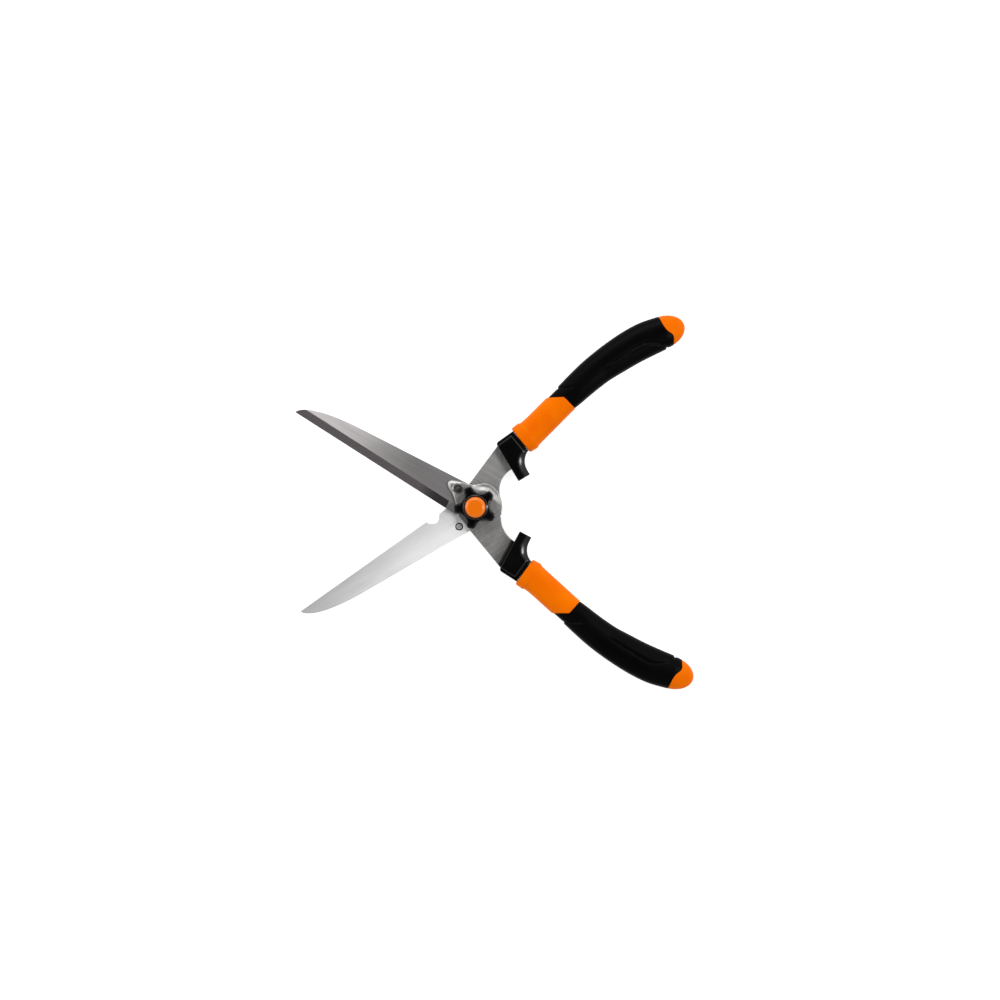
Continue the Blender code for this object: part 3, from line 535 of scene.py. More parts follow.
class Look:
    """A Principled material in the making, in a lever's own coordinates if a side is given."""

    def __init__(self, name, side=None, **values):
        self.material = bpy.data.materials.new(name)
        self.material.use_nodes = True
        self.tree = self.material.node_tree
        self.shader = self.tree.nodes["Principled BSDF"]
        for socket, value in values.items():
            self.shader.inputs[socket.replace("_", " ")].default_value = value
        self.object = self.node("ShaderNodeTexCoord").outputs["Object"]
        if side:
            back = LEVER[side].inverted()
            self.object = self.node("ShaderNodeMapping", {
                "Vector": self.object, "Location": back.to_translation(),
                "Rotation": back.to_euler()}).outputs[0]

    def node(self, kind, inputs=None, **settings):
        """A node with its settings, and with each input linked or given its value."""
        node = self.tree.nodes.new(kind)
        for key, value in settings.items():
            setattr(node, key, value)
        for key, value in (inputs or {}).items():
            if isinstance(value, bpy.types.NodeSocket):
                self.tree.links.new(value, node.inputs[key])
            else:
                node.inputs[key].default_value = value
        return node

    def link(self, output, socket):
        self.tree.links.new(output, self.shader.inputs[socket])

    def noise(self, scale, detail=3.0, stretch=(1.0, 1.0, 1.0), turn_deg=0.0, roughness=0.5):
        """Noise of so many features a metre. stretch scales each axis, after a turn about Z."""
        turned_to = self.node("ShaderNodeMapping", {
            "Vector": self.object, "Rotation": (0.0, 0.0, radians(turn_deg))})
        mapped = self.node("ShaderNodeMapping", {"Vector": turned_to.outputs[0], "Scale": stretch})
        return self.node("ShaderNodeTexNoise", {
            "Vector": mapped.outputs[0], "Scale": scale, "Detail": detail,
            "Roughness": roughness}).outputs["Fac"]

    def cells(self, scale, feature="F1"):
        """Distance from the middle of the nearest of so many cells a metre."""
        return self.node("ShaderNodeTexVoronoi", {"Vector": self.object, "Scale": scale},
                         feature=feature).outputs["Distance"]

    def axis(self, name):
        return self.node("ShaderNodeSeparateXYZ", {0: self.object}).outputs[name]

    def off_mid(self):
        """Distance from the plane at the levers' mid height."""
        return self.math("ABSOLUTE", self.math("SUBTRACT", self.axis("Z"), BLADE_PLANE * MM))

    def fit(self, value, low, high, to_low, to_high, interpolation="LINEAR"):
        """value from low to high, mapped to the other range and held at its ends."""
        return self.node("ShaderNodeMapRange", {
            "Value": value, "From Min": low, "From Max": high, "To Min": to_low,
            "To Max": to_high}, interpolation_type=interpolation).outputs[0]

    def math(self, operation, a, b=0.0):
        return self.node("ShaderNodeMath", {0: a, 1: b}, operation=operation).outputs[0]

    def mix(self, factor, a, b, blend="MIX"):
        """Two colours mixed. Each is a socket or three numbers."""
        node = self.node("ShaderNodeMix", {0: factor}, data_type="RGBA", blend_type=blend)
        for socket, value in ((node.inputs[6], a), (node.inputs[7], b)):
            if isinstance(value, bpy.types.NodeSocket):
                self.tree.links.new(value, socket)
            else:
                socket.default_value = (*value, 1.0)
        return node.outputs[2]

    def bump(self, height, distance, strength=1.0, under=None):
        """A bump of so many metres, over the bump under it."""
        inputs = {"Height": height, "Distance": distance, "Strength": strength}
        if under:
            inputs["Normal"] = under
        return self.node("ShaderNodeBump", inputs).outputs[0]


def steel_look(name, side, dark, light, grain, roughness, grain_turn=0.0,
               along=None, across=None, dents=0.0):
    """Ground steel. grain is how many streaks a metre lie side by side, dents the depth of dents.

    along and across paint light and shade into its colour in X and Y: first and last place,
    and the share of light at each.
    """
    look = Look(name, side, Metallic=1.0)
    streaks = look.noise(1.0, 4.0, (grain * 0.016, grain, grain), grain_turn, 0.65)
    fine = look.noise(1.0, 2.0, (grain * 0.06, grain * 3.2, grain * 3.2), grain_turn, 0.6)
    cloud = look.noise(24.0, 3.0)
    tone = look.mix(look.fit(streaks, 0.3, 0.7, 0.0, 1.0), dark, light)
    tone = look.mix(look.fit(fine, 0.3, 0.7, 0.0, 0.18), tone, tuple(0.55 * c for c in dark))
    tone = look.mix(look.fit(cloud, 0.35, 0.75, 0.0, 0.16), tone, tuple(0.7 * c for c in dark))
    # Painted shade: smooth ramps along X or Y multiplied into the colour, standing in for light and
    # reflection.
    for axis, ramp in (("X", along), ("Y", across)):
        if ramp:
            start, end, near, far = ramp
            shade = look.fit(look.axis(axis), start * MM, end * MM, near, far, "SMOOTHSTEP")
            painted_shade_grey = look.node("ShaderNodeCombineColor", {0: shade, 1: shade, 2: shade}).outputs[0]
            tone = look.mix(1.0, tone, painted_shade_grey, "MULTIPLY")
    look.link(tone, "Base Color")
    rough = look.math("ADD", look.fit(streaks, 0.25, 0.75, roughness - 0.05, roughness + 0.07),
                      look.fit(cloud, 0.4, 0.7, 0.0, 0.06))
    look.link(rough, "Roughness")
    surface = look.bump(fine, 0.00002, 0.5, look.bump(streaks, 0.00003, 0.5))
    if dents:
        surface = look.bump(look.noise(150.0, 3.0), dents * MM, 0.8, surface)
    look.link(surface, "Normal")
    return look.material


def plastic_look(name, colour, shade, roughness, grain, depth, parting=False, coat=0.0, gloss=0.5,
                 tint=(1.0, 1.0, 1.0)):
    """Moulded plastic: fine grain of a depth in metres, faint clouds, a parting line if asked."""
    look = Look(name, IOR=1.48, Specular_IOR_Level=gloss, Specular_Tint=(*tint, 1.0),
                Coat_Weight=coat, Coat_Roughness=0.22)
    cloud = look.noise(35.0, 4.0)
    speck = look.noise(grain, 2.0)
    look.link(look.mix(look.fit(cloud, 0.3, 0.72, 0.0, 1.0), colour, shade), "Base Color")
    rough = look.math("ADD", look.fit(cloud, 0.3, 0.7, roughness - 0.05, roughness + 0.05),
                      look.fit(speck, 0.3, 0.7, -0.04, 0.04))
    look.link(rough, "Roughness")
    surface = look.bump(speck, depth, 0.6)
    if parting:
        line = look.fit(look.off_mid(), 0.00008, 0.00022, 1.0, 0.0)
        surface = look.bump(line, 0.00012, 0.6, surface)
    look.link(surface, "Normal")
    return look.material


def rubber_look(name):
    """Soft black overmould: pebbled, with dull worn patches and a parting line."""
    look = Look(name, IOR=1.45, Specular_IOR_Level=0.05)
    cloud = look.noise(22.0, 5.0)
    pebbles = look.cells(1150.0)
    speck = look.noise(2600.0, 2.0)
    tone = look.mix(look.fit(cloud, 0.35, 0.75, 0.0, 1.0),
                    (0.0004, 0.0004, 0.0005), (0.0010, 0.0009, 0.0010))
    tone = look.mix(look.fit(pebbles, 0.05, 0.5, 0.3, 0.0), tone, (0.0022, 0.0021, 0.0023))
    look.link(tone, "Base Color")
    rough = look.math("ADD", look.fit(cloud, 0.3, 0.7, 0.34, 0.44),
                      look.fit(speck, 0.3, 0.7, -0.05, 0.05))
    look.link(rough, "Roughness")
    line = look.fit(look.off_mid(), 0.00010, 0.00028, 1.0, 0.0)
    surface = look.bump(pebbles, 0.00005, 0.5, look.bump(speck, 0.00002, 0.4))
    look.link(look.bump(line, 0.00015, 0.6, surface), "Normal")
    return look.material


def zinc_look(name, dark, light):
    """Zinc-plated steel: a pale patchy plating over faint turning marks."""
    look = Look(name, Metallic=1.0)
    patches = look.cells(420.0, "SMOOTH_F1")
    cloud = look.noise(160.0, 4.0)
    tone = look.mix(look.fit(cloud, 0.3, 0.7, 0.0, 1.0), dark, light)
    tone = look.mix(look.fit(patches, 0.1, 0.7, 0.0, 0.3), tone, tuple(1.12 * c for c in light))
    look.link(tone, "Base Color")
    look.link(look.fit(cloud, 0.3, 0.7, 0.26, 0.42), "Roughness")
    look.link(look.bump(cloud, 0.00003, 0.4, look.bump(patches, 0.00002, 0.3)), "Normal")
    return look.material


LOOKS = {
    # The blades are one steel painted to stand in for light: the rear blade lighter than the front
    # blade, and the front bevel much darker than the rear bevel. Their along and across ramps paint
    # shade: the front blade and its bevel darker towards the pivot, the rear blade darker towards
    # its tip and its edge.
    "front_blade": steel_look(
        "front_blade_steel", "front", (0.625, 0.60, 0.60), (0.77, 0.74, 0.735),
        grain=900.0, roughness=0.50, along=(-205.0, -80.0, 1.0, 0.34)),
    "front_bevel": steel_look(
        "front_bevel_steel", "front", (0.117, 0.103, 0.108), (0.182, 0.163, 0.170),
        grain=1300.0, roughness=0.50, grain_turn=58.0, along=(-75.0, -46.0, 1.0, 0.34)),
    "rear_blade": steel_look(
        "rear_blade_steel", "rear", (0.86, 0.86, 0.87), (0.94, 0.94, 0.94),
        grain=900.0, roughness=0.54,
        along=(-250.0, -50.0, 0.68, 1.0), across=(-19.0, 16.0, 1.04, 0.80)),
    "rear_bevel": steel_look(
        "rear_bevel_steel", "rear", (0.42, 0.42, 0.42), (0.58, 0.58, 0.58),
        grain=1300.0, roughness=0.45, grain_turn=58.0),
    # The front tang's along ramp paints shade, darker towards its collar.
    "front_tang": steel_look(
        "front_tang_steel", "front", (0.37, 0.36, 0.35), (0.46, 0.45, 0.44),
        grain=700.0, roughness=0.38, grain_turn=60.0, along=(38.0, 60.0, 1.0, 0.40), dents=0.40),
    "rear_tang": steel_look(
        "rear_tang_steel", "rear", (0.34, 0.335, 0.33), (0.42, 0.415, 0.41),
        grain=700.0, roughness=0.43, grain_turn=60.0, dents=0.25),
    "rivet": steel_look(
        "rivet_steel", None, (0.05, 0.05, 0.05), (0.10, 0.10, 0.095),
        grain=1600.0, roughness=0.45, grain_turn=20.0),
    "rivet_end": steel_look(
        "rivet_end_steel", None, (0.50, 0.50, 0.50), (0.72, 0.72, 0.72),
        grain=1600.0, roughness=0.45, grain_turn=20.0),
    # Near-black steel for the groove round the rear rivet's flush end: painted shade in the recess.
    "groove": steel_look(
        "groove_painted_shade", None, (0.006, 0.006, 0.006), (0.015, 0.015, 0.015),
        grain=1600.0, roughness=0.6, grain_turn=20.0),
    "orange": plastic_look(
        "orange_plastic", (0.735, 0.148, 0.0004), (0.68, 0.110, 0.0004),
        roughness=0.34, grain=1500.0, depth=0.00003, parting=True, gloss=0.10,
        tint=(1.0, 0.45, 0.10)),
    "orange_gloss": plastic_look(
        "orange_gloss_plastic", (0.70, 0.138, 0.0006), (0.66, 0.122, 0.0006),
        roughness=0.26, grain=700.0, depth=0.00001, coat=0.45, gloss=0.45, tint=(1.0, 0.8, 0.5)),
    "black": plastic_look(
        "black_gloss_plastic", (0.0008, 0.0008, 0.0010), (0.0016, 0.0016, 0.0019),
        roughness=0.12, grain=600.0, depth=0.00001, gloss=0.38),
    "bumper": plastic_look(
        "bumper_plastic", (0.0007, 0.0007, 0.0008), (0.0015, 0.0015, 0.0017),
        roughness=0.17, grain=800.0, depth=0.00002, parting=True, gloss=0.36),
    "rubber": rubber_look("grip_rubber"),
    "zinc": zinc_look("zinc_steel", (0.42, 0.42, 0.44), (0.66, 0.66, 0.68)),
    "spring": zinc_look("spring_steel", (0.28, 0.28, 0.30), (0.46, 0.46, 0.48)),
}


# ---- pieces ----

def put(name, data):
    """A new object in the scene."""
    thing = bpy.data.objects.new(name, data)
    bpy.context.scene.collection.objects.link(thing)
    return thing


def piece(mesh, name, body, node, looks):
    """A visible piece that rides on its body, in place of a CAD node."""
    thing = put(name, mesh)
    for look in looks:
        mesh.materials.append(LOOKS[look])
    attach(thing, body)
    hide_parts(node)


def lever_piece(mesh, side, name, node, looks, place=Matrix()):
    """A piece of a lever. Its mesh is moved to its place, and its object stays at the origin."""
    mesh.transform(LEVER[side] @ place)
    piece(mesh, f"{side}_{name}", f"{side}_lever", f"{side}_{node}", looks)


def make_blade(side, notched, bevel_end):
    """A flat blade with a ground bevel on its outer face."""
    lean = 1.0 / hypot(1.0, EDGE_SLOPE)
    ground = BLADE_THICK - EDGE_LAND

    def behind_edge(x, y):
        return (edge_y(x) - y) * lean

    def soft_rim(x, y, d):
        return rim(d, 0.6, 0.25) * ease(behind_edge(x, y), 0.5, 3.0)

    def top(x, y, d):
        return -FACE - soft_rim(x, y, d)

    def bottom(x, y, d):
        slope = ground / BEVEL_WIDTH
        cut = np.clip((BEVEL_WIDTH - behind_edge(x, y)) * slope, 0.0, ground)
        cut *= 1.0 - np.clip((x - bevel_end + BEVEL_RUN_OUT) / BEVEL_RUN_OUT, 0.0, 1.0)
        under = -FACE - BLADE_THICK + np.maximum(cut, soft_rim(x, y, d))
        return np.minimum(under, -FACE - EDGE_LAND)

    drop = BEVEL_WIDTH / lean
    crease = [(x, edge_y(x) - drop) for x in np.linspace(-238.0, bevel_end, 100)]
    stops = [[(x, edge_y(x) - share * drop) for share in np.linspace(0.03, 1.0, 9)]
             for x in (bevel_end - BEVEL_RUN_OUT, bevel_end)]
    loops = [blade_outline(notched), circle((0.0, 0.0), BUSH_HOLE_RADIUS)]
    if side == "rear":
        loops.append(circle(RIVET_AT, RIVET_RING_RADIUS, 48))
    mesh = pillow(f"{side}_blade_steel", loops, top, bottom, rim_rings(0.6, 3), 2.2,
                  [crease, *stops], 12.0)
    for face in mesh.polygons:
        x, y, _ = (c / MM for c in face.center)
        under_bevel = (x < bevel_end - BEVEL_RUN_OUT / 2
                       and 0.0 <= behind_edge(x, y) < BEVEL_WIDTH)
        face.material_index = int(face.normal.z < -0.5 and under_bevel)
    lever_piece(mesh, side, "blade_plate", "blade", [f"{side}_blade", f"{side}_bevel"])


def make_tang(side):
    """The tang: pressed slopes round its head and over the blade, and a step to mid height."""
    start, end = JOGGLE_X[side]

    def level(x):
        return TANG_LEVEL * (1.0 - np.clip((x - start) / (end - start), 0.0, 1.0))

    def top(x, y, d):
        return level(x) + TANG_THICK / 2 - rim(d, 0.8, 0.6)

    def bottom(x, y, d):
        head = ease(-y, 16.0, 27.0) * (1.0 - ease(-x, 10.0, 17.0))
        head_fall = HEAD_FALL * (1.0 - ease(d, *HEAD_SLOPE))
        tip = ease(-x, 27.0, 33.0) * ease(-x - y, 21.0, 26.0)
        tip_fall = tip * END_FALL * np.clip(1.0 - d / END_SLOPE, 0.0, 1.0)
        return level(x) - TANG_THICK / 2 + rim(d, 0.9, 0.7) + np.maximum(head * head_fall, tip_fall)

    bore = circle((0.0, 0.0), BUSH_HOLE_RADIUS)
    rivet_hole = circle(RIVET_AT, RIVET_HOLE_RADIUS, 40)
    rings = [0.12, 0.35, 0.9, 1.8, 2.6, 3.4, 4.4, 5.2, 6.0, 7.0, 8.4, 9.8]
    across = [[(x, y) for y in np.arange(*JOGGLE_Y, 0.5)] for x in np.linspace(start, end, 9)]
    mesh = pillow(f"{side}_tang_steel", [tang_outline(side), bore, rivet_hole], top, bottom,
                  rings, 1.2, across, 27.0)
    lever_piece(mesh, side, "tang_plate", "tang", [f"{side}_tang"])


def make_rivet(side):
    """A ringed head on the tang, and at the rear blade's rubbing face a flush end in a groove."""
    top = -FACE
    seat = TANG_LEVEL - TANG_THICK / 2 - GAP
    ring = RIVET_RING_RADIUS - 0.1
    disc = [(0.0, top - 0.35), (0.5, top - 0.3), (0.8, top - 0.05), (1.3, top), (3.0, top),
            (3.3, top - 0.15)]
    groove = [(3.35, top - 1.0), (ring, top - 1.1)]
    shank = [(ring, top - 1.4), (3.0, top - 1.6), (3.0, seat)]
    head = [(5.0, seat), (5.2, seat - 0.2), (5.2, seat - 0.7), (5.0, seat - 1.0),
            (4.4, seat - 1.15), (3.9, seat - 1.0), (3.6, seat - 0.55), (3.2, seat - 0.5),
            (2.9, seat - 0.9), (2.6, seat - 1.5), (2.0, seat - 1.8), (1.0, seat - 1.96),
            (0.0, seat - 2.0)]
    mesh = turned(f"{side}_rivet_steel", [*disc, *groove, *shank, *head], 64, 50.0)
    # The flush end takes the pale steel and the groove the near-black one, which paints shade into
    # the groove.
    for face in mesh.polygons:
        height = face.center.z / MM
        if height > top - 0.2:
            face.material_index = 1
        elif height > top - 1.7:
            face.material_index = 2
    place = Matrix.Translation((RIVET_AT[0] * MM, RIVET_AT[1] * MM, 0.0))
    lever_piece(mesh, side, "rivet_steel", "rivet", ["rivet", "rivet_end", "groove"], place)


def make_collar(side):
    """The glossy bumper: a raised block with a lower border, and a horn that rounds over."""

    def outer_y(x):
        return COLLAR_OUTER_Y + (x - COLLAR_FRONT_X) * COLLAR_TAPER

    def rear_x(y):
        x_there, y_there, lean = BORDER_REAR
        return x_there - lean * (y - y_there)

    def top(x, y, d):
        inside = np.minimum(outer_y(x) - y - BORDER_WIDTH, rear_x(y) - x)
        border = BORDER_DROP * (1.0 - ease(inside, -BORDER_STEP, BORDER_STEP)) * ease(y, 24.0, 30.0)
        throat = np.hypot(x - HORN_ARC_CENTRE[0], y - HORN_ARC_CENTRE[1]) - HORN_ARC_RADIUS
        round_over = np.clip(1.0 - throat / HORN_FALL_WIDTH, 0.0, 1.0) ** 2
        horn = HORN_FALL * round_over * (1.0 - ease(y, 20.0, 34.0))
        return COLLAR_HALF_THICK - rim(d, 0.7, 0.7) - border - horn

    def bottom(x, y, d):
        return -top(x, y, d)

    lines = []
    for share in (-1.0, -0.5, 0.0, 0.5, 1.0):
        step = share * BORDER_STEP
        beside = [(x, outer_y(x) - BORDER_WIDTH - step)
                  for x in np.linspace(62.0, rear_x(49.5) - step, 30)]
        lines.append(beside + [(rear_x(y) - step, y) for y in np.linspace(49.0, 26.0, 30)])
    mesh = pillow(f"{side}_bumper_plastic", [collar_outline()], top, bottom,
                  [*rim_rings(0.7, 4), 1.4, 2.4], 1.0, lines)
    lever_piece(mesh, side, "bumper_block", "bumper", ["bumper"])


# ---- handles ----

STATIONS = np.array([*FLANGE[:-1], *smooth(BODY, 10)])
LAST_X = BODY[-1][0]


def handle_surface(t, v, inset):
    """Points on the handle at x station t and angle v, moved inwards by inset.

    A t past the last section is on the rounded end.
    """
    at = np.minimum(t, LAST_X)
    y, w, h, tilt = (np.interp(at, STATIONS[:, 0], STATIONS[:, k]) for k in (1, 2, 3, 4))
    beyond = np.clip((t - LAST_X) / END_LENGTH, 0.0, 1.0)
    close = np.sqrt(1.0 - beyond ** 2)
    reach = beyond * END_LENGTH
    w = (w - inset) * close
    h = (h - inset) * close
    tilt = np.radians(tilt)
    c, s = np.cos(v), np.sin(v)
    across = w * np.sign(c) * np.abs(c) ** (2 / SECTION_POWER)
    up = h * np.sign(s) * np.abs(s) ** (2 / SECTION_POWER)
    x = at + reach * cos(radians(END_DEG)) - across * np.sin(tilt)
    y = y + reach * sin(radians(END_DEG)) + across * np.cos(tilt)
    return np.stack([x, y, up], -1)


def line_distance(points, line):
    """Signed distance in plan from an open line, positive to its right, and the distance along."""
    line = np.array(line)
    a, b = line[:-1], line[1:]
    along = b - a
    length = np.sqrt((along ** 2).sum(1))
    before = np.concatenate([[0.0], np.cumsum(length)[:-1]])
    offset = points[:, None, :2] - a
    t = np.clip((offset * along).sum(2) / length ** 2, 0.0, 1.0)
    gap = offset - t[..., None] * along
    near = np.sqrt((gap ** 2).sum(2))
    best = near.argmin(1)
    rows = np.arange(len(points))
    side = offset[rows, best, 0] * along[best, 1] - offset[rows, best, 1] * along[best, 0]
    return np.sign(side) * near[rows, best], (before + t * length)[rows, best]


def crossings(line, start, end):
    """For each angle round the handle, the station where the surface crosses a line in plan."""
    stations = np.linspace(start, end, 600)
    found = []
    for v in ANGLES:
        points = handle_surface(stations, np.full_like(stations, v), 0.0)
        side = line_distance(points, line)[0]
        i = np.flatnonzero(np.sign(side[1:]) != np.sign(side[:-1]))[0]
        share = side[i] / (side[i] - side[i + 1])
        found.append(stations[i] + (stations[i + 1] - stations[i]) * share)
    return np.array(found)


def tube(name, rows, closed):
    """A mesh from rows of stations and insets round the handle.

    It is closed into a ring of rows, or else it has a flat front and runs to a point at the end.
    """
    verts = np.vstack([handle_surface(np.broadcast_to(t, ANGLES.shape), ANGLES, inset)
                       for t, inset in rows])
    n = len(rows)
    faces = []
    for i in range(n if closed else n - 1):
        j = (i + 1) % n
        for k in range(AROUND):
            m = (k + 1) % AROUND
            faces.append((i * AROUND + k, i * AROUND + m, j * AROUND + m, j * AROUND + k))
    if not closed:
        faces.append(tuple(range(AROUND))[::-1])
        tip = handle_surface(np.array([LAST_X + END_LENGTH]), np.zeros(1), 0.0)
        verts = np.vstack([verts, tip])
        first = (n - 1) * AROUND
        faces += [(first + k, first + (k + 1) % AROUND, len(verts) - 1) for k in range(AROUND)]
    return mesh_from(name, verts, faces, 50.0)


GRIP_START = crossings(GRIP_FRONT, 110.0, 200.0)
GRIP_END = crossings(smooth(GRIP_REAR), 280.0, LAST_X + 0.95 * END_LENGTH)


def grip_relief(t):
    """How far the grip stands out at the stations t, one for each angle: its step and panel."""
    points = handle_surface(t, ANGLES, 0.0)
    front, run = line_distance(points, GRIP_STEP)
    fade = 1.0 - ease(run, 26.0, 44.0)
    step = -STEP_DROP * (1.0 - ease(-front, -0.8, 0.8)) * fade
    step = step - STEP_GROOVE * np.exp(-(front / 0.8) ** 2) * fade
    panel, run = line_distance(points, smooth(PANEL_LINE))
    whole = 1.0 - ease(run, 70.0, 98.0)
    groove = -PANEL_GROOVE * np.exp(-(panel / 1.1) ** 2) * whole
    raised = PANEL_RISE * ease(-panel, 0.0, 2.0) * whole * ease(t, 190.0, 225.0)
    crown = ease(t, 195.0, 225.0) * (1.0 - ease(t, 285.0, 305.0)) * np.sin(ANGLES) ** 2
    return step + groove + raised - CROWN_DROP * crown


def make_grip(side):
    """The soft grip: a sleeve with rolled lips, a step behind its front and a raised panel."""
    lip = [(0.0, GRIP_INSIDE), (0.0, 0.75), (0.12, 0.38), (0.4, 0.14), (0.8, 0.02)]
    rows = [(GRIP_START + ahead, inset - grip_relief(GRIP_START + ahead)) for ahead, inset in lip]
    start, end = GRIP_START + lip[-1][0], GRIP_END - lip[-1][0]
    for share in np.linspace(0.0, 1.0, 171)[1:-1]:
        t = start + (end - start) * share
        rows.append((t, -grip_relief(t)))
    rows += [(GRIP_END - back, inset) for back, inset in lip[::-1]]
    rows += [(GRIP_END + (GRIP_START - GRIP_END) * share, np.full(AROUND, GRIP_INSIDE))
             for share in (0.25, 0.5, 0.75)]
    mesh = tube(f"{side}_grip_rubber", rows, True)
    lever_piece(mesh, side, "soft_grip", "grip", ["rubber"])


def make_core(side):
    """The orange moulding: flanged sleeve, the reduced stretch in the grip, the rounded end."""
    under = GRIP_THICK + HANDLE_GAP
    start = FLANGE[-1][0]
    lip = GRIP_START - HANDLE_GAP
    back = GRIP_END + HANDLE_GAP
    tip = LAST_X + END_LENGTH
    rows = [(np.full(AROUND, section[0]), 0.0) for section in FLANGE[:-1]]
    rows += [(start + (lip - 0.5 - start) * share, 0.0) for share in np.linspace(0.0, 1.0, 24)]
    rows += [(lip - 0.15, 0.1), (lip, 0.4), (lip, under)]
    rows += [(lip + (back - lip) * share, under) for share in np.linspace(0.0, 1.0, 26)[1:-1]]
    rows += [(back, under), (back, END_INSET + 0.35), (back + 0.15, END_INSET + 0.1)]
    shares = np.sin(np.linspace(0.0, pi / 2, 26))[:-1]
    rows += [(back + 0.5 + (tip - back - 0.5) * share, END_INSET) for share in shares]
    mesh = tube(f"{side}_core_plastic", rows, False)
    lever_piece(mesh, side, "handle_body", "handle_core", ["orange"])


# ---- pivot ----

def make_knob():
    """The star knob: rounded lobes round a raised hub that holds the cap."""
    well = CAP_FLOOR - 0.3
    wall = [(0.25, well), (0.3, KNOB_TOP - 0.5), (0.55, KNOB_TOP - 0.1), (0.8, KNOB_TOP),
            (1.1, KNOB_TOP - 0.06), (2.2, KNOB_TOP - 0.42), (2.55, KNOB_TOP - 0.9),
            (2.65, KNOB_TOP - 3.0)]
    radii, heights = zip((0.0, well), *((CAP_RADIUS + out, height) for out, height in wall))

    def top(x, y, d):
        r = np.hypot(x, y)
        crown = 0.8 * (1.0 - ease(r, 14.0, 25.0)) - 0.5 * (1.0 - np.clip(d / 4.0, 0.0, 1.0))
        lobes = KNOB_LOBE_TOP - rim(d, KNOB_EDGE, KNOB_EDGE) + crown
        return np.where(r < radii[-1] + 0.01, np.interp(r, radii, heights), lobes)

    def bottom(x, y, d):
        return KNOB_BASE + rim(d, 1.6, 1.6) + KNOB_FOOT * ease(np.hypot(x, y), *KNOB_FOOT_RADIUS)

    lines = []
    for r in (*radii[1:], *KNOB_FOOT_RADIUS):
        loop = circle((0.0, 0.0), r, 96)
        lines.append([*loop, loop[0]])
    bore = circle((0.0, 0.0), BORE_RADIUS, 48)
    mesh = pillow("star_knob_plastic", [star_outline(), bore], top, bottom,
                  [*rim_rings(KNOB_EDGE), 2.6, 4.0], 1.0, lines, 45.0)
    piece(mesh, "star_knob_body", "knob", "star_knob", ["black"])


def make_cap():
    """The cap: nearly flat, with a broad sloping rim."""
    crown = [(0.0, 0.0), (3.0, 0.02), (6.0, 0.08), (8.0, 0.18), (8.8, 0.28), (9.4, 0.44)]
    slope = [(10.0, 0.70), (10.6, 1.00), (11.2, 1.34), (11.7, 1.68), (12.1, 2.05), (12.4, 2.50),
             (12.55, 3.0)]
    profile = [(r, CAP_TOP - fall) for r, fall in smooth([*crown, *slope], 3)]
    mesh = turned("knob_cap_plastic", [*profile, (CAP_RADIUS, CAP_FLOOR), (0.0, CAP_FLOOR)],
                  sharp_deg=60.0)
    piece(mesh, "knob_cap_dome", "knob", "knob_cap", ["orange_gloss"])


def make_bolt():
    """A carriage bolt: low domed head, and a threaded shank whose neck the rear tang hides."""
    run = BOLT_HEAD_RADIUS - BOLT_FLAT_RADIUS
    rise = BOLT_HEAD_HEIGHT - BOLT_HEAD_EDGE
    dome = [(BOLT_HEAD_RADIUS - run * (1 - s), rise * (1 - (1 - s ** 2) ** 0.5))
            for s in np.linspace(1.0, 0.0, 12)]
    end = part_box("pivot_bolt")[1].z / MM
    shank = [(0.0, end), (BOLT_RADIUS - 0.7, end)]
    z = end - 0.7
    while z > THREAD_END:
        shank += [(BOLT_RADIUS, z), (BOLT_RADIUS - THREAD_DEPTH, z - THREAD_FLANK)]
        z -= THREAD_PITCH
    neck_top = BOLT_HEAD_HEIGHT + NECK_HEIGHT
    shank += [(BOLT_RADIUS, z), (BOLT_RADIUS, neck_top)]
    neck = [(BOLT_RADIUS + 0.1, neck_top), (BOLT_RADIUS + 0.1, BOLT_HEAD_HEIGHT)]
    edge = [(BOLT_HEAD_RADIUS - 0.3, BOLT_HEAD_HEIGHT), (BOLT_HEAD_RADIUS, BOLT_HEAD_HEIGHT - 0.3)]
    mesh = turned("pivot_bolt_steel", [*shank, *neck, *edge, *dome, (0.0, 0.0)], sharp_deg=30.0)
    piece(mesh, "pivot_bolt_body", "rear_lever", "pivot_bolt", ["zinc"])


def make_washers():
    """The plain washer with eased edges, and the dished spring washer."""
    low, high = (corner.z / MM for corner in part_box("plain_washer"))
    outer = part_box("plain_washer")[1].x / MM
    ring = [(BORE_RADIUS, high), (outer - 0.25, high), (outer, high - 0.25), (outer, low + 0.25),
            (outer - 0.25, low), (BORE_RADIUS, low)]
    piece(turned("plain_washer_steel", ring), "plain_washer_ring", "rear_lever", "plain_washer",
          ["zinc"])
    low, high = (corner.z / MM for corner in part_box("spring_washer"))
    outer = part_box("spring_washer")[1].x / MM
    dish = [(BORE_RADIUS, high), (4.6, high), (outer, low + 0.9), (outer, low), (4.6, high - 0.9),
            (BORE_RADIUS, high - 0.9)]
    piece(turned("spring_washer_steel", dish), "spring_washer_ring", "knob_washer",
          "spring_washer", ["spring"])


def dress_hidden_nodes():
    """Materials for the CAD nodes that stay."""
    for node in ("pivot_bush", "knob_nut", "rear_handle_pin", "front_handle_pin"):
        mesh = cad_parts[node].data
        mesh.materials.clear()
        mesh.materials.append(LOOKS["zinc"])


# ---- picture ----

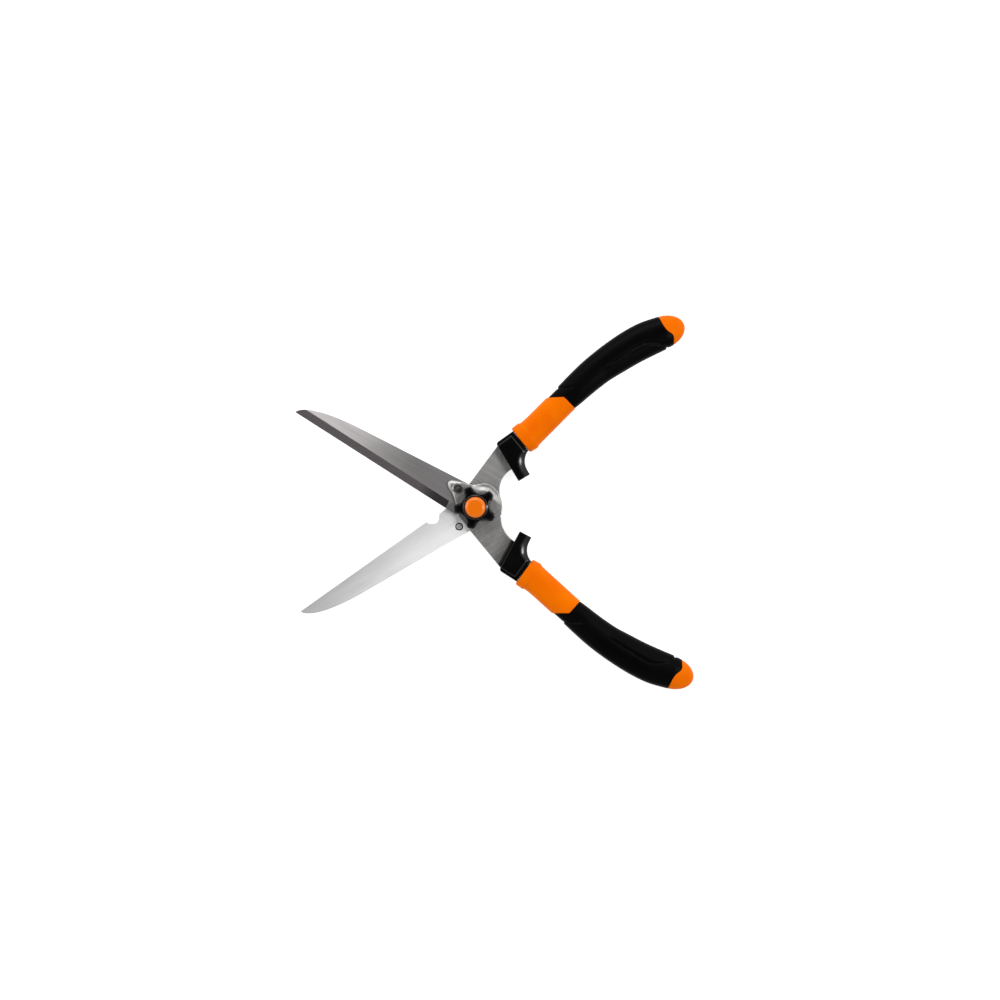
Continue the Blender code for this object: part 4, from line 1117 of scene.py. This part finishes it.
def make_floor():
    """A plain pale floor just under the shears."""
    mesh = bpy.data.meshes.new("floor")
    corners = [(x * FLOOR_HALF_SIDE, y * FLOOR_HALF_SIDE, 0)
               for x, y in ((-1, -1), (1, -1), (1, 1), (-1, 1))]
    mesh.from_pydata(corners, [], [(0, 1, 2, 3)])
    floor = put("floor", mesh)
    floor.location.z = cad_box[0][2] - FLOOR_DROP * MM
    look = Look("floor_paper", Roughness=0.9, Emission_Color=(1.0, 1.0, 1.0, 1.0),
                Emission_Strength=FLOOR_GLOW)
    look.link(look.mix(look.noise(3.0, 4.0), (0.50, 0.50, 0.50), (0.52, 0.52, 0.52)), "Base Color")
    mesh.materials.append(look.material)


def make_light(name, size, watts, place):
    """A soft lamp of a size in metres, aimed at the pivot."""
    data = bpy.data.lights.new(name, "AREA")
    data.shape = "RECTANGLE"
    data.size, data.size_y = size
    data.energy = watts
    light = put(name, data)
    light.location = place
    light.rotation_euler = (-Vector(place)).to_track_quat("-Z", "Y").to_euler()


def make_lights():
    """A light tent that is open at the top and dim on one side, and three soft lamps."""
    world = bpy.data.worlds.new("studio")
    world.use_nodes = True
    tree = world.node_tree
    background = tree.nodes["Background"]
    background.inputs["Color"].default_value = (1.0, 1.0, 1.0, 1.0)
    direction = tree.nodes.new("ShaderNodeSeparateXYZ")
    tree.links.new(tree.nodes.new("ShaderNodeTexCoord").outputs["Generated"], direction.inputs[0])
    both = tree.nodes.new("ShaderNodeMath")
    both.operation = "MULTIPLY"
    walls = (cos(radians(TENT_WALL_DEG)), cos(radians(TENT_MOUTH_DEG)), TENT_LIGHT, TENT_DARK)
    sides = (*TENT_SIDE_FADE, TENT_NEAR_SIDE, 1.0)
    for i, (axis, limits) in enumerate((("Z", walls), ("Y", sides))):
        ramp = tree.nodes.new("ShaderNodeMapRange")
        ramp.interpolation_type = "SMOOTHSTEP"
        tree.links.new(direction.outputs[axis], ramp.inputs["Value"])
        for socket, value in zip(("From Min", "From Max", "To Min", "To Max"), limits):
            ramp.inputs[socket].default_value = value
        tree.links.new(ramp.outputs[0], both.inputs[i])
    tree.links.new(both.outputs[0], background.inputs["Strength"])
    bpy.context.scene.world = world
    make_light("key", (0.35, 0.35), 11.0, (1.1, -0.02, 1.6))
    make_light("top", (0.9, 0.5), 9.0, (-0.1, 1.6, 1.5))
    make_light("fill", (1.0, 1.0), 6.6, (-1.7, 0.4, 1.2))


def make_camera():
    """Straight above, from far enough that perspective is slight."""
    data = bpy.data.cameras.new("camera")
    data.lens = LENS
    data.sensor_width = SENSOR
    data.clip_end = 50.0
    camera = put("camera", data)
    height = VIEW_WIDTH * MM * LENS / SENSOR
    camera.location = (VIEW_CENTRE[0] * MM, VIEW_CENTRE[1] * MM, height + BLADE_PLANE * MM)
    camera.rotation_euler = (0.0, 0.0, radians(VIEW_TURN_DEG))
    bpy.context.scene.camera = camera


make_camera()
make_blade("rear", True, REAR_BEVEL_END)
make_blade("front", False, FRONT_BEVEL_END)
for lever_side in ("rear", "front"):
    make_tang(lever_side)
    make_rivet(lever_side)
    make_collar(lever_side)
    make_core(lever_side)
    make_grip(lever_side)
make_bolt()
make_washers()
make_knob()
make_cap()
dress_hidden_nodes()
make_floor()
make_lights()
bpy.context.scene.view_settings.view_transform = "Standard"

bpy.context.view_layer.update()
